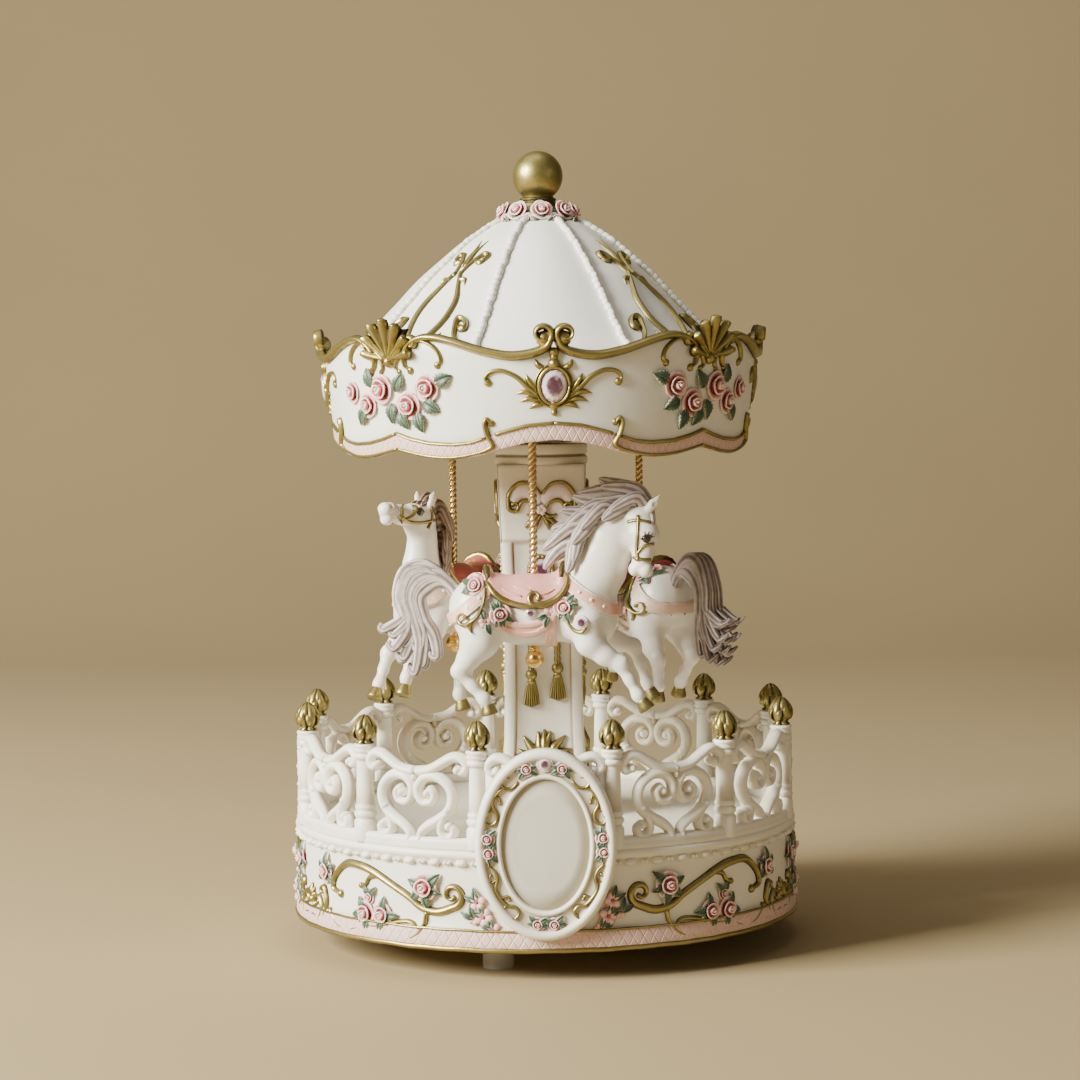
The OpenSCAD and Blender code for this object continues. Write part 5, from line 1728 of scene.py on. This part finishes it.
SEAT = [(-14.8, 122.5), (-12.6, 115.2), (-8.0, 110.8), (-1.8, 109.2), (3.6, 109.0), (8.4, 112.0),
    (10.8, 117.4), (8.6, 123.5)]
SWAG = [(-10.6, 104.8), (-7.6, 102.6), (-3.4, 101.4), (1.2, 101.8), (5.0, 104.0), (7.0, 107.0)]
BREAST = [(9.5, 117.0), (14.0, 113.4), (19.0, 110.2), (24.0, 107.6), (28.0, 106.6)]
BREECH = [(-14.0, 113.0), (-19.0, 109.0), (-23.5, 105.6), (-28.0, 103.6)]
GIRTH = [(5.2, 112.0), (5.6, 102.0), (5.0, 90.0)]


def horse_solid(pose):
    s = Sculpt()
    s.ball((-1, 0, 106.4), (18, 9.0, 10.6), 3)
    s.ball((-15.5, 0, 107.6), (10.8, 9.4, 10.2), 3)
    s.ball((15, 0, 106.6), (10.6, 8.8, 10.6), 3)
    s.ball((20.5, 0, 104.4), (5.4, 7.2, 6.8), 2)
    for side in (1, -1):
        s.ball((-16, side * 4.6, 105.4), (8.4, 5.4, 10.0), 2.4, 20)
        s.ball((14.6, side * 5.0, 106.4), (5.0, 4.0, 8.6), 2, -22)
        s.ball((22.4, side * 3.0, 103.6), (3.0, 3.6, 4.6), 1.2)
    s.limb(*pose["neck"], blend=3, flat=0.74)
    for points, radii in LEGS:
        s.limb(points, radii, 1.8)
    s.limb(*pose["head"], blend=1.2, flat=0.86)
    jaw = np.array(pose["jaw"])
    s.ball(jaw, (4.1, 3.3, 4.3), 1.4)
    for place, size in zip(pose["muzzle"], (2.3, 2.1, 2.1)):
        s.ball(place, (size, size * 1.1, size * 1.05), 0.5)
    a, b = (np.array(p, float) for p in (pose["head"][0][-1], pose["head"][0][-2]))
    along = (a - b) / np.linalg.norm(a - b)
    brow = np.array(pose["head"][0][1], float)
    forward = np.array([-along[2], 0, along[0]]) * (1 if along[2] < -0.5 else -1)
    if forward[0] + forward[2] < 0:
        forward = -forward
    for side in (1, -1):
        x, z = pose["eyes"]
        s.ball((x + 0.5 * forward[0], brow[1] + side * 3.0, z + 0.9), (1.5, 1.1, 1.3), 0.8)
        s.hollow(a + along * 1.2 + forward * 1.5 + np.array([0, side * 1.7, 0]), 0.62, 0.5)
    s.hollow(a + along * 2.9 - forward * 0.5 + np.array([0, -1.6, 0]), 0.5, 0.6)
    s.hollow(a + along * 2.2 - forward * 0.4 + np.array([0, -2.9, 0]), 0.5, 0.6)
    for root, tip in pose["ears"]:
        root, tip = np.array(root), np.array(tip)
        s.limb([root, root * 0.45 + tip * 0.55, tip], (1.5, 1.35, 0.35), 0.6, 0.8)
        s.hollow(root * 0.5 + tip * 0.5 + np.array([0.75, -1.0, 0]), 0.75, 0.4)
    return s


def mane_and_tail(clay, pose, seed, swing):
    luck = np.random.default_rng(seed)
    crest = flowing([(x, 0, z) for x, z in pose["crest"]], 6)
    heads = np.array(pose["flow"], float)
    for layer, (y, spread, drop,
            count) in enumerate(((-3.6, -3.2, 16, 6), (3.6, 3.2, 16, 6), (-1.2, 0.6, 0, 6),
            (0.8, -0.4, -16, 7))):
        for i in range(count):
            share = (i + 0.5 * (layer % 2)) / count
            root = crest[int(share * (len(crest) - 1))] + [1.2, y * 0.7, -1.3]
            angle = math.radians(np.interp(share, np.linspace(0, 1, len(heads)),
                heads) + drop + luck.uniform(-8, 8))
            reach = (15.0 - 4.0 * abs(share - 0.3)) * luck.uniform(0.8,
                1.12) * (0.72 if drop > 10 else 1) * pose["reach"]
            d, up = np.array([math.cos(angle), 0, math.sin(angle)]), np.array([-math.sin(angle), 0,
                math.cos(angle)])
            wave, phase = luck.uniform(1.0, 1.9), luck.uniform(-0.5, 0.9)
            points = []
            for t in (0, 0.18, 0.38, 0.58, 0.78, 0.92, 1):
                sway = wave * math.sin(2 * math.pi * t * 0.85 + phase) - 4.2 * t**4
                points.append(root + d * reach * t - up * sway + np.array([0,
                    y * 0.3 * min(1, 2 * t) + spread * t, 0]))
            lock(clay, points, luck.uniform(4.0, 5.4), 0.5, swell=0.42, sides=20, grooves=6)
    for side in (-1, 1, 0):
        x, z = pose["crest"][0]
        fx, fz = pose["across"]
        brow = np.array(pose["head"][0][1])
        a = np.array([x - 0.6, brow[1] * 0.4, z - 1.2])
        down = brow + np.array([4.4 * fx - 0.6 * fz, side * 1.6, 4.6 * fz + 1.2 * fx])
        down = a + (down - a) * 0.62
        lift = np.array([1.6 * fx + 0.6, side * 0.9, 1.2])
        lock(clay, [a, a + lift, down + np.array([0.2, side, 1.2 * fx]),
            down + np.array([0.4, side * 1.4, -1.6])], 2.2, 0.6)
    tail = [(-23.0, 110.6), (-26.6, 115.6), (-31.6, 118.4), (-36.6, 116.4), (-38.8, 111.2), (-37.4, 105.2),
        (-36.6, 99.6), (-38.6, 94.6)]
    ends = ((-45.6, 101.6), (-43.4, 96.4), (-40.6, 92.6), (-37.2, 88.8), (-33.8, 90.4), (-30.6, 92.6),
        (-42.2, 99.8), (-35.4, 95.6), (-39.0, 97.0))
    for layer in range(3):
        for i, (ex, ez) in enumerate(ends):
            share = i / (len(ends) - 1) * 2 - 1
            inner = np.interp(ex, [-46, -30], [-1.0, 1.0])
            y = (layer - 1) * 1.9 + luck.uniform(-0.4, 0.4)
            points = []
            for k, (x, z) in enumerate(tail[:6]):
                t = k / 5
                points.append(np.array([x + inner * 3.4 * math.sin(math.pi * min(t * 0.75, 0.5)),
                    y * (0.35 + 0.65 * t),
                                        z - inner * 3.0 * math.sin(math.pi * min(t * 0.9,
                                        0.5)) * (1 if k < 4 else 0.3)]))
            last = np.array([ex, y * 1.2, ez]) + luck.uniform(-0.7, 0.7, 3)
            middle = (points[-1] + last) / 2 + np.array([1.6 - 0.6 * inner, 0, 0.4])
            points += [middle, last, last + np.array([-1.5, 0, 0.0]), last + np.array([-2.3, 0, 1.3])]
            points = [p + np.array([0, swing * (j / len(points)) ** 1.3, 0]) for j, p in enumerate(points)]
            lock(clay, points, 4.0, 0.6, swell=0.26, tip=0.16, sides=20, grooves=5)


def hooves(clay):
    for top, low in HOOVES:
        top, low = np.array(top), np.array(low)
        line = [top + (low - top) * t for t in (0, 0.04, 0.2, 0.55, 0.9, 1.0, 1.02)]
        stroke(clay, line, [0.8, 1.85, 1.95, 2.3, 2.6, 2.5, 1.2], sides=18, tone=(0.6, 1))


def saddle_rims():
    """The raised back and front of the saddle, as arches over the horse's back."""
    bow = np.linspace(-1.2, 1.2, 9)
    return [[(x + lean * math.cos(t) ** 2, 6.2 * math.sin(t), high - 5.8 * (1 - math.cos(t))) for t in bow]
            for x, high, lean in ((-13.4, 119.0, -1.2), (8.8, 120.0, 0.6))]


def tack(solid):
    """Saddle, swag and straps, as closed skins over the horse."""
    clay = Clay()
    seat = solid.coat(1.2, inside_line(SEAT))
    for rim in saddle_rims():
        seat.limb(rim, np.full(len(rim), 0.8), 1.4)
    seat.mesh_into(clay, 0, 0.8)
    for line in (BREAST, BREECH, GIRTH):
        solid.coat(0.95, near_line(line, 1.75)).mesh_into(clay, 1, 0.6)
    for offset, thick in ((0, 0.7), (1.5, 1.05), (-1.5, 1.15)):
        swag = [(x, z + offset * (1 - ((x + 1.5) / 9) ** 2 * 0.6)) for x, z in SWAG]
        solid.coat(thick, near_line(swag, 0.95)).mesh_into(clay, 1, 0.6)
    return clay


def tack_trim(dressed, gold, beads, stones, roses, solid, side):
    place = solid.skin(side)
    front = curled(flowing([(9.6, 119.8), (10.8, 116.4), (8.8, 112.2), (4.8, 109.6), (1.6, 109.2)], 7), 2.3,
        1.0, 300, -1)
    rear = flowing([(-14.4, 119.2), (-13.6, 116.4), (-11.2, 112.8), (-7.4, 110.2), (-2.6, 108.9),
        (1.8, 109.0)], 7)
    scroll(gold, place, front, [1.3, 2.2, 2.7, 2.6, 2.3, 1.8, 1.5], 1.9, ball=1.25, tip=0.8, lift=0.7)
    scroll(gold, place, rear, [1.3, 2.2, 2.6, 2.6, 2.3, 1.6], 1.9, tip=0.8, lift=0.7)
    rump = curled(flowing([(-14.2, 114.6), (-14.6, 110.2), (-16.2, 106.2), (-19.6, 103.6)], 7), 2.2, 0.9, 290,
        -1)
    scroll(gold, place, rump, [0.7, 1.1, 1.3, 1.3, 1.1, 0.9], 1.1, ball=0.8, lift=1.0)
    scroll(gold, place, flowing([(-17.4, 105.2), (-18.8, 102.6), (-18.2, 100.8)], 6), [1.0, 1.2, 0.4], 0.9,
        lift=0.3)
    scroll(gold, place, flowing([(10.4, 104.4), (12.6, 101.6), (15.0, 100.8), (16.4, 102.0)], 6),
        [0.8, 1.3, 0.9], 1.0, ball=0.6, lift=0.3)
    for fold in ([(-11.4, 117.0), (-8.0, 113.4), (-3.0, 111.8)], [(-8.4, 117.4), (-5.0, 114.6), (0.4, 113.6)],
                 [(-1.0, 114.6), (3.4, 112.6), (7.0, 113.8)], [(2.0, 116.4), (5.0, 114.8), (8.2, 117.6)]):
        scroll(dressed, place, flowing(fold, 6), [0.6, 1.7, 0.6], 0.9, lift=1.05)
    for line in (BREAST, BREECH):
        path = flowing(line, 8)
        for off in (1.75, -1.75):
            away = np.gradient(path, axis=0)
            away /= np.linalg.norm(away, axis=1)[:, None]
            rim = path + np.stack([-away[:, 1], away[:, 0]], -1) * off
            keep = rim[:, 0] > -26.4 if line is BREECH else rim[:, 0] < 25
            scroll(beads, place, rim[keep], 0.6, 0.5, lift=0.75, sides=6)
        for p in path[3::6]:
            if -26 < p[0] < 24.6:
                beads.knob(place, p[0], p[1], 0.68, 0.6, lift=0.95, rings=5, sides=10)
    for z in (98.5, 95.6):
        beads.knob(place, 5.4, z, 0.6, 0.6, lift=0.95, rings=5, sides=10)
    for x, z, r in ((-0.4, 106.6, 1.6), (15.2, 103.8, 1.9)):
        ring = oval(r, r, 17, x, z)
        beads.strand(place, ring, 0.7, 0.7, lift=0.2)
        cut_stone(stones, at(place, x, z, lift=0.5), r, r, 0.8)
    for x, z, size, leaves in ((-17.8, 115.4, 2.6, (170, 215)), (-9.4, 106.4, 2.8, (100, 130, 250, 280, 330)),
                               (9.8, 108.4, 2.8, (10, 50, 250, 290))):
        spot = at(place, x, z, lift=0.5)
        spray(roses, spot, leaves, size * 1.35)
        rose(roses, spot, size, x * 31)
    for x, z, leaves in ((-13.8, 104.4, (110, 290)), (5.4, 106.2, (200, 250))):
        spot = at(place, x, z, lift=0.5)
        spray(roses, spot, leaves, 3.4)
        flower(roses, spot, 2.3, turn=x * 9)


def bridle(clay, dark, pose, solid, side):
    """Gold straps on the head, and the eye with its lashes."""
    place = solid.skin(side)
    joints = pose["head"][0]
    a, b, c, d = (np.array([p[0], p[2]]) for p in joints)
    jaw = np.array([pose["jaw"][0], pose["jaw"][2]])
    ahead = (d - b) / np.linalg.norm(d - b)
    out = np.array([ahead[1], -ahead[0]])
    if out @ (jaw - b) > 0:
        out = -out
    nose = c * 0.55 + d * 0.45
    cheek = [a - ahead * 1.6 - out * 0.6, b - out * 2.0, c * 0.9 + b * 0.1 - out * 2.0, nose - out * 1.0]
    straps = (cheek, [nose + out * 3.0, nose + out * 1.2, nose - out * 1.4, nose - out * 3.2],
              [a + out * 3.6 + ahead * 0.2, a - out * 0.4, a - out * 3.6 + ahead * 1.0],
              [b + out * 3.4 + ahead * 2.0, (b + c) / 2 + out * 0.2 + ahead * 0.4,
              c - out * 1.8 + ahead * 0.4])
    for points in straps:
        scroll(clay, place, flowing(points, 6), 1.0, 0.7, lift=0.1)
    clay.knob(place, *(nose - out * 1.4), 0.9, 0.8, lift=0.3)
    ex, ez = pose["eyes"]
    almond = [(ex + 1.7 * math.cos(t), ez + 1.0 * math.sin(t) + 0.3 * math.cos(t)) for t in np.linspace(0,
        2 * math.pi, 17)]
    dark.knob(at(place, ex, ez), 0, 0, 1.35, 0.55, lift=0.12, rings=7, sides=16)
    dark.strand(place, np.array(almond[:9]), [0.4, 0.9, 0.4], 0.4, lift=0.2)
    for k in range(4):
        t = 0.3 + 0.5 * k
        lash = np.array([(ex + 1.3 * math.cos(t), ez + 0.9 * math.sin(t)),
            (ex + 2.7 * math.cos(t), ez + 2.3 * math.sin(t))])
        dark.strand(place, lash, [0.55, 0.15], 0.35, lift=0.12)


def hair_paint(name, light, shade):
    paint = Paint(name, Roughness=0.45, Coat_Weight=0.1)
    cloud = paint.noise(2.2, 4)
    # Painted shade in the grooves between strands and a painted highlight on their crests, from the locks'
    # tone.
    strand_tone = paint.carried("tone") * 0.85 + (cloud - 0.5) * 0.7
    paint.feed(Base_Color=paint.mix(strand_tone.ramp(0.0, 0.95), shade, light))
    return paint.bump(cloud, 0.12, 0.6).material


def glaze(name, light, shade):
    """Matt colour brushed over relief, darker where the tone is low: painted shade in its creases and under
    its folds.
    """
    paint = Paint(name, Roughness=0.45, Coat_Weight=0.12)
    cloud, fine = paint.noise(3.2, 4), paint.noise(0.8, 2)
    bright = (paint.carried("tone") + (cloud - 0.5) * 0.5 + (fine - 0.5) * 0.2).ramp(0.25, 1.0)
    paint.feed(Base_Color=paint.mix(bright, shade, light))
    return paint.bump(cloud + fine * 0.4, 0.16, 0.6).material


def eye_paint():
    paint = Paint("eye_paint", Roughness=0.12, Coat_Weight=0.8)
    cloud = paint.noise(0.8, 2)
    return paint.feed(Base_Color=paint.mix(cloud, (0.012, 0.008, 0.006), (0.04, 0.02, 0.012))).material


HORSE_PAINT = ivory("horse_white", (0.88, 0.84, 0.77), (0.50, 0.40, 0.31), 0.34)
EYE_PAINT = eye_paint()
# Saddle, straps and hair, each as (light, shade), and how far the tail swings outward at its tips
DARK_SADDLE = ((0.36, 0.07, 0.06), (0.10, 0.02, 0.02))
PALE_STRAPS = ((0.82, 0.57, 0.45), (0.52, 0.28, 0.20))
LOOKS = {
    "front": (BOWED, ((0.74, 0.34, 0.31), (0.34, 0.10, 0.10)), ((0.82, 0.47, 0.37), (0.50, 0.20, 0.15)),
              ((0.66, 0.59, 0.56), (0.20, 0.15, 0.14)), 0),
    "right": (HIGH, DARK_SADDLE, PALE_STRAPS, ((0.45, 0.37, 0.34), (0.12, 0.09, 0.09)), -11),
    "left": (HIGH, DARK_SADDLE, PALE_STRAPS, ((0.38, 0.27, 0.20), (0.10, 0.06, 0.04)), 2),
}


def horse(index, name):
    pose, seat_colours, strap_colours, hair_colours, swing = LOOKS[name]
    solid = horse_solid(pose)
    body, hair, gold, beads, stones, roses, dark = (Clay() for _ in range(7))
    solid.mesh_into(body)
    mane_and_tail(hair, pose, 11 + index, swing)
    hooves(gold)
    dressed = tack(solid)
    for rim in saddle_rims():
        stroke(gold, np.array(rim) * [1, 1.06, 1] + [0, 0, 1.0], [0.6, 1.15, 1.2, 1.15, 0.6], sides=12)
    for side in (-1, 1):
        tack_trim(dressed, gold, beads, stones, roses, solid, side)
        bridle(gold, dark, pose, solid, side)
    cx, cy = pole_centre(name)
    turn = HORSE_TURN + 120 * index
    seat_paint = glaze(name + "_saddle_paint", *seat_colours)
    strap_paint = glaze(name + "_strap_paint", *strap_colours)
    for clay, label, slot, paints in (
        (body, "body", "horse_resin", (HORSE_PAINT,)),
        (hair, "hair", "horse_resin", (hair_paint(name + "_hair", *hair_colours),)),
        (dressed, "tack", "rose_paint", (seat_paint, strap_paint)),
        (gold, "trim", "gold_paint", (GOLD_PAINT,)),
        (beads, "pearls", "resin", (IVORY_PAINT,)), (stones, "stones", "gem", (GEM_PAINT,)),
        (roses, "roses", "rose_paint", (ROSE_PAINT, LEAF_PAINT)),
        (dark, "eyes", "horse_resin", (EYE_PAINT,))):
        clay.stand(turn, cx, cy)
        piece = clay.cast(f"horse_{name}_{label}", "canopy", slot, *paints, smooth=clay is not stones)
        if clay is body:
            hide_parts("horse_" + name)


for horse_index, horse_name in enumerate(HORSES):
    horse(horse_index, horse_name)


# ---- underside and movement ----
# The drum is closed below by a moulded plate on three feet, and holds a spring barrel, a pinned
# cylinder with its comb and an air brake. Their shapes are those of the CAD part, with new paints.


def moulded(name, light, rough, grain_mm=0.6, clear=0.0):
    paint = Paint(name, Roughness=rough)
    paint.bsdf.inputs["Transmission Weight"].default_value = clear
    cloud, grain = paint.noise(14, 3), paint.noise(grain_mm, 2)
    paint.feed(Base_Color=paint.mix(cloud.ramp(0.2, 0.8), tuple(c * 0.88 for c in light), light))
    paint.feed(Roughness=grain * 0.14 + (rough - 0.07))
    return paint.bump(grain, 0.04, 0.5).material


def milled(name, light, rough=0.28, grain_mm=0.35):
    """Worked metal: fine drawn lines and a little tarnish."""
    paint = Paint(name, Metallic=1.0, Roughness=rough)
    stretch = paint.node("ShaderNodeMapping", {}, {"Vector": paint.place, "Scale": (1, 1, 14)}, "Vector")
    values = {"Vector": stretch, "Scale": 1 / (grain_mm * 8 * MM), "Detail": 3.0}
    lines = paint.node("ShaderNodeTexNoise", {}, values, "Fac")
    tarnish = paint.noise(6, 4)
    paint.feed(Base_Color=paint.mix(tarnish.ramp(0.3, 0.8), light, tuple(c * 0.6 for c in light)))
    paint.feed(Roughness=lines * 0.2 + tarnish * 0.12 + (rough - 0.14))
    return paint.bump(lines, 0.02, 0.5).material


STEEL = milled("ground_steel", (0.58, 0.57, 0.55))
SPRING_STEEL = milled("blued_spring_steel", (0.30, 0.31, 0.34), 0.24)
ZINC = milled("cast_zinc", (0.47, 0.46, 0.44), 0.42, 0.6)
DULL_BRASS = milled("dull_brass", (0.62, 0.45, 0.19), 0.34)
KEPT = {
    "feet": moulded("foot_rubber", (0.66, 0.63, 0.55), 0.5, clear=0.25),
    "base_plate": moulded("base_plate_plastic", (0.72, 0.67, 0.55), 0.45),
    "canopy_ceiling": moulded("ceiling_resin", (0.42, 0.37, 0.30), 0.6, 1.2),
    "canopy_hub": moulded("hub_nylon", (0.78, 0.75, 0.67), 0.4),
    "governor_worm": moulded("worm_nylon", (0.80, 0.78, 0.70), 0.38),
    "governor_fan": moulded("fan_nylon", (0.72, 0.30, 0.22), 0.38),
    "base_plate_screws": STEEL, "bedplate_screws": STEEL, "comb_screws": STEEL, "drive_shaft": STEEL,
    "hub_nut": STEEL,
    "winding_arbor": STEEL, "cylinder_arbor": STEEL, "comb": SPRING_STEEL, "clutch_spring": SPRING_STEEL,
    "mainspring": SPRING_STEEL, "bedplate": ZINC, "cylinder_bearings": ZINC, "governor_bracket": ZINC,
    "winding_key": milled("key_nickel", (0.66, 0.62, 0.54), 0.22), "melody_cylinder": DULL_BRASS,
    "cylinder_pinion": DULL_BRASS, "cylinder_wheel": DULL_BRASS, "spring_barrel": DULL_BRASS,
    "barrel_cover": DULL_BRASS,
}
for node_name, node_paint in KEPT.items():
    node_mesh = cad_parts[node_name].data
    node_mesh.materials.clear()
    node_mesh.materials.append(node_paint)
